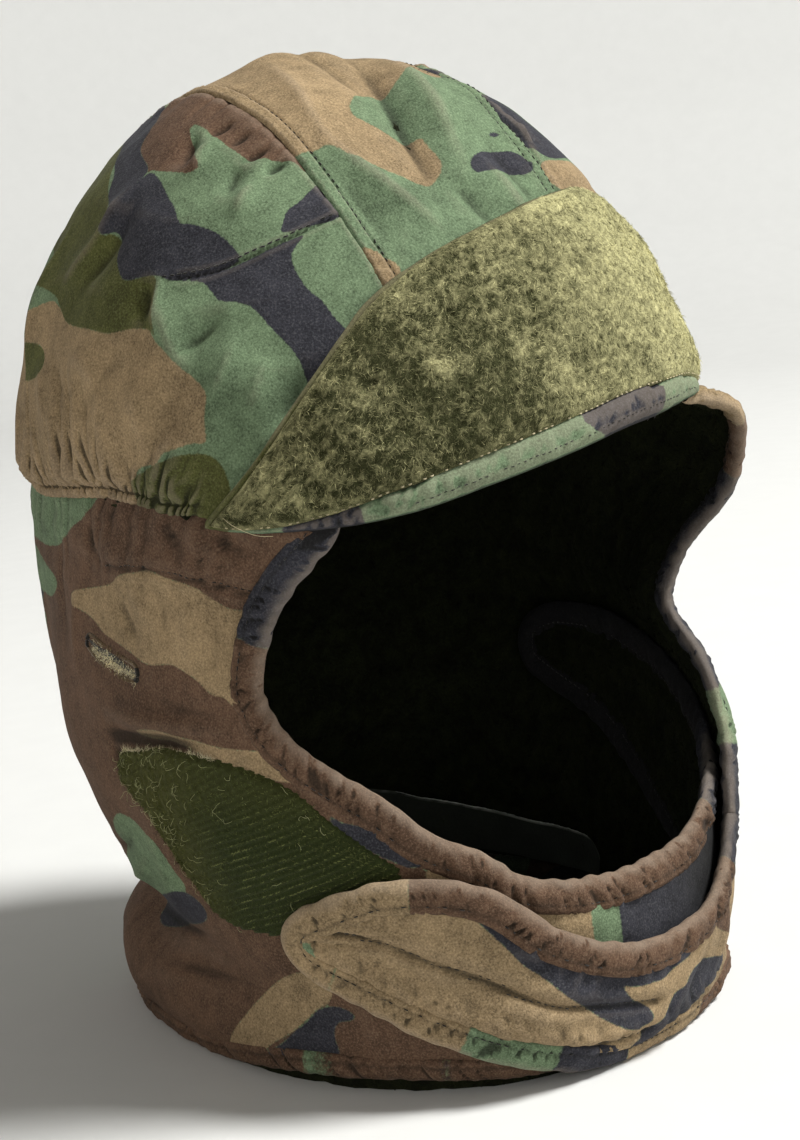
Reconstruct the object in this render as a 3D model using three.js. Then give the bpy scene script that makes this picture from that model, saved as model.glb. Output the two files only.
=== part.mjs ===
// Helmet liner cap: a soft, pile-lined cap with a gathered crown, a turned-up peak,
// and a neck wall that opens round the face and closes under the chin with two crossed flaps.
// Millimetres, +Z up. The cap faces -Y, +X is the wearer's left, and it stands on its hem at z = 0.
// It is drawn upright round the axis of the head, then tipped so that the hem lies flat.
// Angles round the head (theta) are in degrees from the front, positive to the wearer's left.
import * as THREE from 'three';

// Axis of the head and height of the gathered line where the crown meets the neck wall.
const AXIS_Y = 4;
const CROWN_LINE = 168;
// The hem hangs lower at the wearer's left back: height on the axis, slope, and the way it falls.
const HEM_PLANE = { height: -6, slope: 0.115, towards: 135 };
// Exponent of the rounded, slightly squarish sections.
const SQUARENESS = 2.28;

// Cloth, pile and tape.
const CLOTH = 2.2;
const LINING = 2.2;
const FACING_GAP = 0.45;
const CROWN_LINING_GAP = 1.0;
const CLOTH_GAP = 0.35;
const TAPE_WIDTH = 8.6;
const HEM_TAPE_WIDTH = 5.95;
const TAPE_THICKNESS = 4.0;
const FLAP_LAYER = 5.6;
const UNDER_FLAP_DEPTH = 7.3;
const PANEL_HEM = HEM_TAPE_WIDTH + CLOTH_GAP;

// Crown.
const CROWN_HALF_WIDTH = { right: 91, left: 87 };
const SEAM_X = 34;
const SEAM_RIDGE = 1.1;
const CROWN_DROP = 2;
const GATHER_HEIGHT = 1.9;
const GATHERS_PER_SIDE = 13;
const NECK_TUCK = 2.7;

// Peak, turned up against the crown.
const PEAK_CLOTH = 1.6;
const PEAK_PILE = 3.0;
const PEAK_GAP = 0.95;
const PEAK_STRIP = 9;

// Trim.
const PATCH_THICKNESS = 1.2;
const PATCH_GAP = 0.6;
const LABEL_THICKNESS = 0.9;
const BUTTONHOLE = { theta: -91, z: 124, length: 22, height: 6, tilt: -19, bead: 1.5 };

// Neck wall: half widths and depths of its mid surface at each height.
const WALL_SECTIONS = [
  { z: -16, right: 82, left: 80, front: 94, back: 96 },
  { z: 0, right: 83, left: 81, front: 98, back: 97 },
  { z: 14, right: 86, left: 82, front: 103, back: 96 },
  { z: 30, right: 86, left: 81, front: 106, back: 94 },
  { z: 45, right: 87, left: 84, front: 105, back: 90 },
  { z: 58, right: 89, left: 88, front: 103, back: 88 },
  { z: 72, right: 93, left: 91, front: 101, back: 91 },
  { z: 90, right: 95.5, left: 92, front: 100, back: 99 },
  { z: 110, right: 94, left: 91.5, front: 97, back: 108 },
  { z: 130, right: 91, left: 91, front: 95, back: 116 },
  { z: 150, right: 88.5, left: 89, front: 95, back: 121 },
  { z: 168, right: 90.8, left: 87, front: 95.5, back: 120.6 },
];

// Dents (negative push) and swells (positive push) of the neck wall.
const WALL_FOLDS = [
  { theta: 53, z: 153, spread: 24, height: 15, push: 15 },
  { theta: 56, z: 107, spread: 26, height: 17, push: -10 },
  { theta: -124, z: 39, spread: 36, height: 9, push: -10 },
  { theta: -118, z: 15, spread: 40, height: 12, push: 3 },
  { theta: -80, z: 32, spread: 24, height: 9, push: -3 },
  { theta: 140, z: 60, spread: 30, height: 16, push: -4 },
];

// Distance from the head centre to the crown's middle line; angle 0 is the front, 90 the top.
const CROWN_PROFILE = [
  { angle: 0, radius: 95.5 },
  { angle: 20, radius: 92 },
  { angle: 40, radius: 90.5 },
  { angle: 60, radius: 94 },
  { angle: 80, radius: 103 },
  { angle: 100, radius: 109 },
  { angle: 120, radius: 109 },
  { angle: 140, radius: 110 },
  { angle: 160, radius: 115 },
  { angle: 180, radius: 120.6 },
];

// Face edge of the neck wall, where the tape starts.
const FACE_EDGE = [
  { z: 68, theta: 26 },
  { z: 74, theta: 32 },
  { z: 80, theta: 36 },
  { z: 88, theta: 40.5 },
  { z: 94, theta: 45.5 },
  { z: 101, theta: 51 },
  { z: 109, theta: 55.5 },
  { z: 123, theta: 59 },
  { z: 142, theta: 56 },
  { z: 154, theta: 51 },
  { z: 167, theta: 43 },
];

// Under flap: the wearer's right wall, carried on across the front and inside the left wall.
const UNDER_FLAP = [
  { theta: -26, bottom: 11, top: 68 },
  { theta: -20, bottom: 10.5, top: 58 },
  { theta: -11, bottom: 9.8, top: 49 },
  { theta: 0, bottom: 9, top: 44 },
  { theta: 12, bottom: 9, top: 44 },
  { theta: 19, bottom: 10, top: 46 },
  { theta: 31, bottom: 14, top: 55 },
  { theta: 46, bottom: 24, top: 62 },
  { theta: 55, bottom: 32, top: 67 },
  { theta: 65, bottom: 40, top: 73 },
  { theta: 80, bottom: 52, top: 80 },
  { theta: 92, bottom: 60, top: 83 },
  { theta: 104, bottom: 66, top: 82 },
  { theta: 111, bottom: 71, top: 78 },
];

// Over flap: the wearer's left wall, carried on across the front and over the right wall.
const OVER_FLAP = [
  { theta: 32, bottom: 2.8, top: 50 },
  { theta: 26, bottom: 3.9, top: 40 },
  { theta: 20, bottom: 5, top: 33 },
  { theta: 12, bottom: 6.8, top: 30 },
  { theta: 4, bottom: 8.4, top: 30 },
  { theta: -3, bottom: 9.6, top: 32 },
  { theta: -10, bottom: 12, top: 37 },
  { theta: -18, bottom: 18, top: 46 },
  { theta: -26, bottom: 25, top: 60 },
  { theta: -32, bottom: 31, top: 64 },
  { theta: -38, bottom: 37, top: 65 },
  { theta: -44, bottom: 43, top: 62 },
  { theta: -49, bottom: 47.5, top: 58 },
  { theta: -52, bottom: 50.5, top: 55.5 },
];

// The hem rises a little off the table at the wearer's right front.
const HEM_RISE = [
  { theta: -180, rise: 0 },
  { theta: -84, rise: 0 },
  { theta: -70, rise: 2 },
  { theta: -59, rise: 4 },
  { theta: -40, rise: 4.5 },
  { theta: -28, rise: 3 },
  { theta: -14, rise: 1 },
  { theta: -4, rise: 0 },
  { theta: 180, rise: 0 },
];

// Upper edge of the peak, as an angle of elevation from the head centre.
const PEAK_EDGE = [
  { theta: -59, angle: 1.4 },
  { theta: -52, angle: 8 },
  { theta: -43, angle: 18.5 },
  { theta: -36, angle: 26.5 },
  { theta: -30, angle: 32.5 },
  { theta: -18, angle: 38.5 },
  { theta: -6, angle: 42 },
  { theta: 6, angle: 44 },
  { theta: 18, angle: 45 },
  { theta: 30, angle: 42 },
  { theta: 36, angle: 35.5 },
  { theta: 43, angle: 24.5 },
  { theta: 52, angle: 11 },
  { theta: 59, angle: 1.4 },
];

// Hook-and-loop patch on the wearer's right cheek.
const PATCH = [
  { theta: -90, bottom: 90.5, top: 95 },
  { theta: -87.5, bottom: 88, top: 99.5 },
  { theta: -84, bottom: 84, top: 101 },
  { theta: -80, bottom: 78, top: 102.5 },
  { theta: -77, bottom: 68, top: 103.5 },
  { theta: -74.5, bottom: 59, top: 104 },
  { theta: -72, bottom: 53.5, top: 104 },
  { theta: -66, bottom: 51, top: 104 },
  { theta: -60, bottom: 51, top: 103 },
  { theta: -54.5, bottom: 54, top: 100 },
  { theta: -49.5, bottom: 57, top: 95.5 },
  { theta: -45, bottom: 60, top: 88.5 },
  { theta: -40, bottom: 64, top: 80 },
  { theta: -36, bottom: 67, top: 74.5 },
];

// Facing strip inside the back of the neck.
const LABEL = [
  { theta: 93, bottom: -4, top: 10 },
  { theta: 104, bottom: -5, top: 9 },
  { theta: 115, bottom: -5.5, top: 9 },
  { theta: 127, bottom: -5, top: 11 },
  { theta: 139, bottom: -3, top: 14 },
  { theta: 151, bottom: 2, top: 19.5 },
  { theta: 163, bottom: 8, top: 26 },
];

// Heights of the rows of the neck wall and numbers of columns.
const RIGHT_LOW_ROWS = [6.3, 17, 28, 40, 53, 68];
const LEFT_LOW_ROWS = [6.3, 20, 35, 50];
const RIGHT_HIGH_ROWS = [80, 94, 108, 123, 138, 152, 164.2, 170];
const LEFT_HIGH_ROWS = [63, 77, 91, 107, 123, 138, 152, 164.2, 170];
const WALL_COLUMNS = 22;
const RIGHT_FLAP_COLUMNS = 16;
const LEFT_FLAP_COLUMNS = 13;
const BACK_SEAM = 179.92;

// Mathematics.
const rad = THREE.MathUtils.degToRad;
const mix = (a, b, t) => a + (b - a) * t;
const clamp = THREE.MathUtils.clamp;
const smooth = (value, low, high) => THREE.MathUtils.smoothstep(value, low, high);

// Monotone cubic curve through the rows of a table.
function curve(table, xKey, yKey) {
  const rows = [...table].sort((a, b) => a[xKey] - b[xKey]);
  const x = rows.map((row) => row[xKey]);
  const y = rows.map((row) => row[yKey]);
  const steps = x.slice(1).map((value, i) => (y[i + 1] - y[i]) / (value - x[i]));
  const slopes = x.map((value, i) => {
    if (i === 0) return steps[0];
    if (i === x.length - 1) return steps[i - 1];
    const before = steps[i - 1];
    const after = steps[i];
    return before * after <= 0 ? 0 : (2 * before * after) / (before + after);
  });
  return (at) => {
    const value = clamp(at, x[0], x[x.length - 1]);
    let i = 0;
    while (i < x.length - 2 && value > x[i + 1]) i += 1;
    const width = x[i + 1] - x[i];
    const t = (value - x[i]) / width;
    const a = (2 * t + 1) * (1 - t) ** 2 * y[i] + t * (1 - t) ** 2 * width * slopes[i];
    const b = t * t * (3 - 2 * t) * y[i + 1] + t * t * (t - 1) * width * slopes[i + 1];
    return a + b;
  };
}

const wallRight = curve(WALL_SECTIONS, 'z', 'right');
const wallLeft = curve(WALL_SECTIONS, 'z', 'left');
const wallFront = curve(WALL_SECTIONS, 'z', 'front');
const wallBack = curve(WALL_SECTIONS, 'z', 'back');
const crownRadius = curve(CROWN_PROFILE, 'angle', 'radius');
const faceEdge = curve(FACE_EDGE, 'z', 'theta');
const hemRise = curve(HEM_RISE, 'theta', 'rise');
const peakEdge = curve(PEAK_EDGE, 'theta', 'angle');
const underBottom = curve(UNDER_FLAP, 'theta', 'bottom');
const underTop = curve(UNDER_FLAP, 'theta', 'top');
const overBottom = curve(OVER_FLAP, 'theta', 'bottom');
const overTop = curve(OVER_FLAP, 'theta', 'top');

// How far the top of the wall is tucked behind the gathered edge of the crown, 0 to 1.
function tucked(theta, z) {
  return smooth(z, 154, 164) * smooth(Math.abs(theta), 47, 57);
}

function folds(theta, z) {
  const free = 1 - Math.max(tucked(theta, z), smooth(z, 157, 165.5));
  return free * WALL_FOLDS.reduce((sum, fold) => {
    const across = (theta - fold.theta) / fold.spread;
    const up = (z - fold.z) / fold.height;
    return sum + fold.push * Math.exp(-across * across - up * up);
  }, 0);
}

// A point of the neck wall, `out` millimetres outside its mid surface.
function wallPoint(theta, z, out) {
  const s = Math.sin(rad(theta));
  const c = Math.cos(rad(theta));
  const across = s > 0 ? wallLeft(z) : wallRight(z);
  const along = c > 0 ? wallFront(z) : wallBack(z);
  const power = Math.abs(c / along) ** SQUARENESS + Math.abs(s / across) ** SQUARENESS;
  const r = power ** (-1 / SQUARENESS) + folds(theta, z) + out;
  return new THREE.Vector3(r * s, AXIS_Y - r * c, z);
}

// Height of the hem plane under a point, and the height of the hem line at an angle.
function hemPlane(point) {
  const s = Math.sin(rad(HEM_PLANE.towards));
  const c = -Math.cos(rad(HEM_PLANE.towards));
  return HEM_PLANE.height - HEM_PLANE.slope * (s * point.x + c * (point.y - AXIS_Y));
}

function hemHeight(theta) {
  let z = 0;
  for (let step = 0; step < 4; step += 1) z = hemPlane(wallPoint(theta, z, 0));
  return z + hemRise(theta);
}

// The way a surface of angle and height faces, from its slopes.
function surfaceFacing(surface, theta, z) {
  const round = surface(theta + 2, z).sub(surface(theta - 2, z));
  const upward = surface(theta, z + 3).sub(surface(theta, z - 3));
  return round.cross(upward).normalize();
}

// A point of the crown in a direction from the head centre.
function crownPoint(direction, out) {
  const d = direction.clone().normalize();
  const middle = Math.hypot(d.y, d.z);
  const angle = THREE.MathUtils.radToDeg(Math.atan2(Math.max(d.z, 0), -d.y));
  const halfWidth = d.x > 0 ? CROWN_HALF_WIDTH.left : CROWN_HALF_WIDTH.right;
  const along = (middle / crownRadius(angle)) ** SQUARENESS;
  const across = Math.abs(d.x / halfWidth) ** SQUARENESS;
  const r = (along + across) ** (-1 / SQUARENESS) + out;
  return new THREE.Vector3(0, AXIS_Y, CROWN_LINE).addScaledVector(d, r);
}

function headDirection(theta, elevation) {
  const flat = Math.cos(rad(elevation));
  const s = Math.sin(rad(theta));
  const c = Math.cos(rad(theta));
  return new THREE.Vector3(s * flat, -c * flat, Math.sin(rad(elevation)));
}

// Direction of a lengthwise seam of the crown, x millimetres from the middle.
function seamDirection(x, angle) {
  const halfWidth = x > 0 ? CROWN_HALF_WIDTH.left : CROWN_HALF_WIDTH.right;
  const narrowing = (1 - Math.abs(x / halfWidth) ** SQUARENESS) ** (1 / SQUARENESS);
  const r = crownRadius(clamp(angle, 0, 180)) * narrowing;
  return new THREE.Vector3(x, -Math.cos(rad(angle)) * r, Math.sin(rad(angle)) * r);
}

// Closed bodies.
function closedMesh(name, positions, triangles, look) {
  const volume = triangles.reduce((sum, [a, b, c]) => {
    const cross = new THREE.Vector3().crossVectors(positions[b], positions[c]);
    return sum + positions[a].dot(cross) / 6;
  }, 0);
  const index = triangles.flatMap(([a, b, c]) => (volume < 0 ? [a, c, b] : [a, b, c]));
  const geometry = new THREE.BufferGeometry();
  geometry.setAttribute('position', new THREE.Float32BufferAttribute(positions.flatMap((p) => p.toArray()), 3));
  geometry.setIndex(index);
  geometry.computeVertexNormals();
  const mesh = new THREE.Mesh(geometry, new THREE.MeshStandardMaterial(look));
  mesh.name = name;
  return mesh;
}

// A sheet of some thickness over a grid; place(i, j, side) gives its outer (+1) and inner (-1) points.
function sheet(name, columns, rows, place, look, hasCell = () => true) {
  const positions = [];
  const triangles = [];
  const numbers = new Map();
  const number = (i, j, side) => {
    const key = `${i} ${j} ${side}`;
    if (!numbers.has(key)) {
      numbers.set(key, positions.length);
      positions.push(place(i, j, side));
    }
    return numbers.get(key);
  };
  const present = (i, j) => i >= 0 && j >= 0 && i < columns && j < rows && hasCell(i, j);
  for (let i = 0; i < columns; i += 1) {
    for (let j = 0; j < rows; j += 1) {
      if (present(i, j)) {
        const ring = [[i, j], [i + 1, j], [i + 1, j + 1], [i, j + 1]];
        const next = [[i, j - 1], [i + 1, j], [i, j + 1], [i - 1, j]];
        const [a, b, c, d] = ring.map(([p, q]) => number(p, q, 1));
        const [e, f, g, h] = ring.map(([p, q]) => number(p, q, -1));
        triangles.push([a, b, c], [a, c, d], [e, g, f], [e, h, g]);
        ring.forEach(([p, q], side) => {
          if (!present(...next[side])) {
            const [s, t] = ring[(side + 1) % 4];
            const near = number(p, q, 1);
            const far = number(s, t, 1);
            const nearIn = number(p, q, -1);
            const farIn = number(s, t, -1);
            triangles.push([far, near, nearIn], [far, nearIn, farIn]);
          }
        });
      }
    }
  }
  return closedMesh(name, positions, triangles, look);
}

// A bar swept through sections that all have the same number of corners.
function bar(name, sections, look, ring = false) {
  const corners = sections[0].length;
  const positions = sections.flat();
  const triangles = [];
  const spans = ring ? sections.length : sections.length - 1;
  for (let i = 0; i < spans; i += 1) {
    const here = i * corners;
    const there = ((i + 1) % sections.length) * corners;
    for (let k = 0; k < corners; k += 1) {
      const m = (k + 1) % corners;
      triangles.push([here + k, there + k, there + m], [here + k, there + m, here + m]);
    }
  }
  if (!ring) {
    const last = (sections.length - 1) * corners;
    for (let k = 1; k < corners - 1; k += 1) {
      triangles.push([0, k, k + 1], [last, last + k + 1, last + k]);
    }
  }
  return closedMesh(name, positions, triangles, look);
}

// Tape folded over the edge of a wall panel, along the given grid points of that panel.
function edgeTape(name, stations, place, look) {
  const middle = stations.map(({ i, j }) => place(i, j, 0));
  const sections = stations.map(({ i, j, width, hem }, k) => {
    const before = middle[Math.max(k - 1, 0)];
    const after = middle[Math.min(k + 1, middle.length - 1)];
    const along = after.clone().sub(before).normalize();
    const facing = place(i, j, 'facing');
    const outward = new THREE.Vector3().crossVectors(facing, along).normalize();
    const corner = (reach, half) => middle[k].clone()
      .addScaledVector(outward, CLOTH_GAP + reach * width)
      .addScaledVector(facing, half * TAPE_THICKNESS / 2);
    const points = [corner(0, -0.9), corner(0, 0.9), corner(0.6, 1), corner(1, 0.5), corner(1, -0.5), corner(0.6, -1)];
    if (hem !== undefined) {
      points[3].z = hemPlane(points[3]) + hemRise(hem);
      points[4].z = hemPlane(points[4]) + hemRise(hem);
    }
    return points;
  });
  return bar(name, sections, look);
}

// Neck wall and flaps: a low block that carries the flap and a high block that stops at the face.
function wallTopDrop(theta) {
  return 2.8 * (1 - smooth(Math.abs(theta), 60, 67));
}

function layerOffset(theta, onRight) {
  const over = FLAP_LAYER * (1 - smooth(theta, -26, 26));
  const under = over - FLAP_LAYER - (UNDER_FLAP_DEPTH - FLAP_LAYER) * smooth(theta, 24, 44);
  return onRight ? under : over;
}

function rightSpot(i, j) {
  const rows = [...RIGHT_LOW_ROWS, ...RIGHT_HIGH_ROWS];
  const corner = RIGHT_LOW_ROWS.length - 1;
  if (i > WALL_COLUMNS) {
    const theta = mix(-26, 111, (i - WALL_COLUMNS) / RIGHT_FLAP_COLUMNS);
    const part = (rows[j] - rows[0]) / (rows[corner] - rows[0]);
    const low = Math.max(underBottom(theta), i < WALL_COLUMNS + 5 ? hemHeight(theta) + PANEL_HEM : -99);
    return { theta, z: mix(low, underTop(theta), part) };
  }
  const front = -faceEdge(rows[j]);
  const theta = mix(-BACK_SEAM, front, i / WALL_COLUMNS);
  return { theta, z: wallRow(rows, j, theta) };
}

// Height of a row of the neck wall: near the hem it follows the hem, higher up it is level.
function wallRow(rows, j, theta) {
  if (j === rows.length - 1) return rows[j] - wallTopDrop(theta);
  const level = rows[j] - PANEL_HEM;
  return rows[j] + hemHeight(theta) * (1 - smooth(level, -20, 62));
}

function leftSpot(i, j) {
  const rows = [...LEFT_LOW_ROWS, ...LEFT_HIGH_ROWS];
  const corner = LEFT_LOW_ROWS.length - 1;
  if (i > WALL_COLUMNS) {
    const theta = mix(32, -52, (i - WALL_COLUMNS) / LEFT_FLAP_COLUMNS);
    const part = (rows[j] - rows[0]) / (rows[corner] - rows[0]);
    const low = i < WALL_COLUMNS + 6 ? hemHeight(theta) + PANEL_HEM : overBottom(theta);
    return { theta, z: mix(low, overTop(theta), part) };
  }
  const front = rows[j] > 88 ? faceEdge(rows[j]) : mix(32, 40.5, smooth(rows[j], 46, 90));
  const theta = mix(BACK_SEAM, front, i / WALL_COLUMNS);
  return { theta, z: wallRow(rows, j, theta) };
}

// Outer (+1), middle (0) or inner (-1) point of a wall sheet, or the way its surface faces there.
function panelPlace(spot, onRight, thickness, inside = 0) {
  const surface = (theta, z) => {
    const out = layerOffset(theta, onRight) - NECK_TUCK * tucked(theta, z);
    return wallPoint(theta, z, out);
  };
  return (i, j, side) => {
    const { theta, z } = spot(i, j);
    const facing = surfaceFacing(surface, theta, z);
    if (side === 'facing') return facing;
    return surface(theta, z).addScaledVector(facing, (side * thickness) / 2 - inside);
  };
}

// Grid points round the free edge of a panel: face edge, flap top, tip, flap bottom, hem.
function edgeStations(flapColumns, lowRows, highRows) {
  const stations = [];
  const end = WALL_COLUMNS + flapColumns;
  for (let j = lowRows + highRows - 1; j > lowRows; j -= 1) stations.push({ i: WALL_COLUMNS, j, width: TAPE_WIDTH });
  for (let i = WALL_COLUMNS; i < end; i += 1) stations.push({ i, j: lowRows, width: TAPE_WIDTH });
  for (let j = lowRows; j >= 0; j -= 1) stations.push({ i: end, j, width: TAPE_WIDTH });
  for (let i = end - 1; i >= WALL_COLUMNS; i -= 1) {
    const part = (i - WALL_COLUMNS) / flapColumns;
    stations.push({ i, j: 0, width: mix(HEM_TAPE_WIDTH, TAPE_WIDTH, smooth(part, 0.15, 0.6)) });
  }
  for (let i = WALL_COLUMNS - 1; i >= 0; i -= 1) stations.push({ i, j: 0, width: HEM_TAPE_WIDTH });
  return stations;
}

// Colours and finishes, as the faded cloth and wool look.
const CAMOUFLAGE = { color: 0x6b6547, roughness: 0.9, metalness: 0 };
const CAMOUFLAGE_BROWN = { color: 0x66523e, roughness: 0.9, metalness: 0 };
const PILE = { color: 0x6e6c43, roughness: 1, metalness: 0 };
const DARK_PILE = { color: 0x2c2e20, roughness: 1, metalness: 0 };
const TAPE = { color: 0x6e554b, roughness: 0.85, metalness: 0 };
const LOOP_TAPE = { color: 0x2f4124, roughness: 0.95, metalness: 0 };
const LABEL_CLOTH = { color: 0x3a4036, roughness: 0.9, metalness: 0 };
const THREAD = { color: 0xa89a78, roughness: 0.9, metalness: 0 };

function crownCenter() {
  const columns = 8;
  const rows = 21;
  return sheet('crown_center_panel', columns, rows, (i, j, side) => {
    const x = mix(-(SEAM_X - 0.2), SEAM_X - 0.2, i / columns);
    const angle = j < rows - 1 ? mix(0, 175, j / (rows - 2)) : mix(178.4, 180 + CROWN_DROP * 0.8, j - rows + 1);
    const edge = i === 0 || i === columns ? SEAM_RIDGE : 0;
    return crownPoint(seamDirection(x, angle), edge + (side * CLOTH) / 2);
  }, CAMOUFLAGE);
}

function crownSide(name, sign) {
  const columns = GATHERS_PER_SIDE * 3;
  const rows = [0, 0.18, 0.36, 0.54, 0.7, 0.83, 0.93, 1];
  return sheet(name, columns, rows.length - 1, (i, j, side) => {
    const along = i / columns;
    const top = seamDirection(sign * (SEAM_X + 0.2), mix(1.4, 178.6, along)).normalize();
    const drop = CROWN_DROP * smooth(along, 0.28, 0.35);
    const bottom = headDirection(sign * mix(20.6, 163.2, along), -drop);
    const direction = top.lerp(bottom, rows[j]).normalize();
    const gathered = smooth(along, 0.3, 0.38) * (1 - smooth(along, 0.93, 1));
    const height = GATHER_HEIGHT * gathered * smooth(rows[j], 0.6, 1);
    const ruffle = height * (0.5 + 0.5 * Math.cos(2 * Math.PI * GATHERS_PER_SIDE * along));
    const ridge = j === 0 ? SEAM_RIDGE : 0;
    return crownPoint(direction, ruffle + ridge + (side * CLOTH) / 2);
  }, sign < 0 ? CAMOUFLAGE : CAMOUFLAGE);
}

// Pile dome inside the crown: rings of points that close in a pole.
function crownLining() {
  const around = 20;
  const rings = [2.6, 16, 31, 46, 61, 76];
  const middle = -(CLOTH / 2 + CROWN_LINING_GAP + LINING / 2);
  const positions = [];
  const triangles = [];
  [1, -1].forEach((side) => {
    rings.forEach((elevation) => {
      for (let i = 0; i < around; i += 1) {
        positions.push(crownPoint(headDirection((360 * i) / around, elevation), middle + (side * LINING) / 2));
      }
    });
    positions.push(crownPoint(new THREE.Vector3(0, 0, 1), middle + (side * LINING) / 2));
  });
  const layer = rings.length * around + 1;
  for (let i = 0; i < around; i += 1) {
    const k = (i + 1) % around;
    for (let j = 0; j < rings.length - 1; j += 1) {
      const [a, b, c, d] = [j * around + i, j * around + k, (j + 1) * around + k, (j + 1) * around + i];
      triangles.push([a, b, c], [a, c, d]);
      triangles.push([layer + a, layer + c, layer + b], [layer + a, layer + d, layer + c]);
    }
    const top = (rings.length - 1) * around;
    triangles.push([top + i, top + k, layer - 1], [layer + top + k, layer + top + i, 2 * layer - 1]);
    triangles.push([k, i, layer + i], [k, layer + i, layer + k]);
  }
  return closedMesh('crown_lining', positions, triangles, DARK_PILE);
}

// The turned-up peak: camouflage cloth against the crown and pile on its outer face.
function peakSheet(name, thickness, out, lowEdge, trim, look) {
  const columns = 18;
  const rows = 6;
  return sheet(name, columns, rows, (i, j, side) => {
    const theta = mix(-59 + trim, 59 - trim, i / columns);
    const low = lowEdge(theta);
    const high = Math.max(peakEdge(theta) - trim, low + 1.2);
    return crownPoint(headDirection(theta, mix(low, high, j / rows)), out + (side * thickness) / 2);
  }, look);
}

function peak() {
  const clothOut = CLOTH / 2 + SEAM_RIDGE + PEAK_GAP - 0.35 + PEAK_CLOTH / 2;
  const pileOut = clothOut + PEAK_CLOTH / 2 + 0.35 + PEAK_PILE / 2;
  const stripAngle = THREE.MathUtils.radToDeg(PEAK_STRIP / 96);
  const rise = (theta) => smooth(Math.abs(theta), 40, 59);
  const clothEdge = (theta) => mix(-1.8, 0, rise(theta));
  const pileEdge = (theta) => mix(-1.8 + stripAngle, 0.4, rise(theta));
  return [
    peakSheet('peak_cloth', PEAK_CLOTH, clothOut, clothEdge, 0, CAMOUFLAGE),
    peakSheet('peak_pile', PEAK_PILE, pileOut, pileEdge, 0.6, PILE),
  ];
}

function neckSide(onRight) {
  const side = onRight ? 'right' : 'left';
  const spot = onRight ? rightSpot : leftSpot;
  const low = (onRight ? RIGHT_LOW_ROWS : LEFT_LOW_ROWS).length - 1;
  const high = (onRight ? RIGHT_HIGH_ROWS : LEFT_HIGH_ROWS).length;
  const flapColumns = onRight ? RIGHT_FLAP_COLUMNS : LEFT_FLAP_COLUMNS;
  const place = panelPlace(spot, onRight, CLOTH);
  const panel = sheet(`neck_panel_${side}`, WALL_COLUMNS + flapColumns, low + high, place,
    onRight ? CAMOUFLAGE_BROWN : CAMOUFLAGE, (i, j) => i < WALL_COLUMNS || j < low);
  const stations = edgeStations(flapColumns, low, high).map((station) => {
    const { theta } = spot(station.i, 0);
    const onHem = station.j === 0 && (onRight ? theta < 12 : theta > -8);
    return onHem && station.width < TAPE_WIDTH ? { ...station, hem: theta } : station;
  });
  const tape = edgeTape(`edge_tape_${side}`, mirrored(stations, onRight), place, TAPE);
  const inside = CLOTH / 2 + FACING_GAP + LINING / 2;
  const start = low - 1;
  const lining = sheet(`neck_lining_${side}`, WALL_COLUMNS - 1, low + high - start, (i, j, face) => {
    const at = panelPlace(spot, onRight, LINING, inside);
    return at(i, Math.min(j + start, low + high), face);
  }, DARK_PILE);
  return [panel, tape, lining];
}

// On the wearer's left the same edge runs the other way round, so its facing side is kept outward.
function mirrored(stations, onRight) {
  return onRight ? stations : [...stations].reverse();
}

// A strip of cloth on the wall, with a column at each row of its table.
function strip(name, table, rows, thickness, out, look) {
  const surface = (theta, z) => wallPoint(theta, z, 0);
  return sheet(name, table.length - 1, rows, (i, j, side) => {
    const { theta, bottom, top } = table[i];
    const z = mix(bottom, top, j / rows);
    return surface(theta, z).addScaledVector(surfaceFacing(surface, theta, z), out + (side * thickness) / 2);
  }, look);
}

function loopPatch() {
  return strip('loop_patch', PATCH, 6, PATCH_THICKNESS, CLOTH / 2 + PATCH_GAP + PATCH_THICKNESS / 2, LOOP_TAPE);
}

function neckLabel() {
  return strip('neck_label', LABEL, 2, LABEL_THICKNESS, -(CLOTH / 2 + PATCH_GAP + LABEL_THICKNESS / 2), LABEL_CLOTH);
}

// Stitched bead round the slit for the strap, beside the ear.
function buttonhole() {
  const turns = 14;
  const { theta, z, length, height, tilt, bead } = BUTTONHOLE;
  const point = (x, y, out) => {
    const u = x * Math.cos(rad(tilt)) - y * Math.sin(rad(tilt));
    const v = x * Math.sin(rad(tilt)) + y * Math.cos(rad(tilt));
    return wallPoint(theta + THREE.MathUtils.radToDeg(u / 94), z + v, CLOTH / 2 + 0.4 + out);
  };
  const sections = Array.from({ length: turns }, (_, k) => {
    const c = Math.cos((2 * Math.PI * k) / turns);
    const s = Math.sin((2 * Math.PI * k) / turns);
    const outer = [(length / 2) * c, (height / 2) * s];
    const inner = [(length / 2 - bead) * c, (height / 2 - bead) * s];
    return [point(...outer, 0), point(...outer, 0.9), point(...inner, 0.9), point(...inner, 0)];
  });
  return bar('buttonhole', sections, THREAD, true);
}

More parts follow.
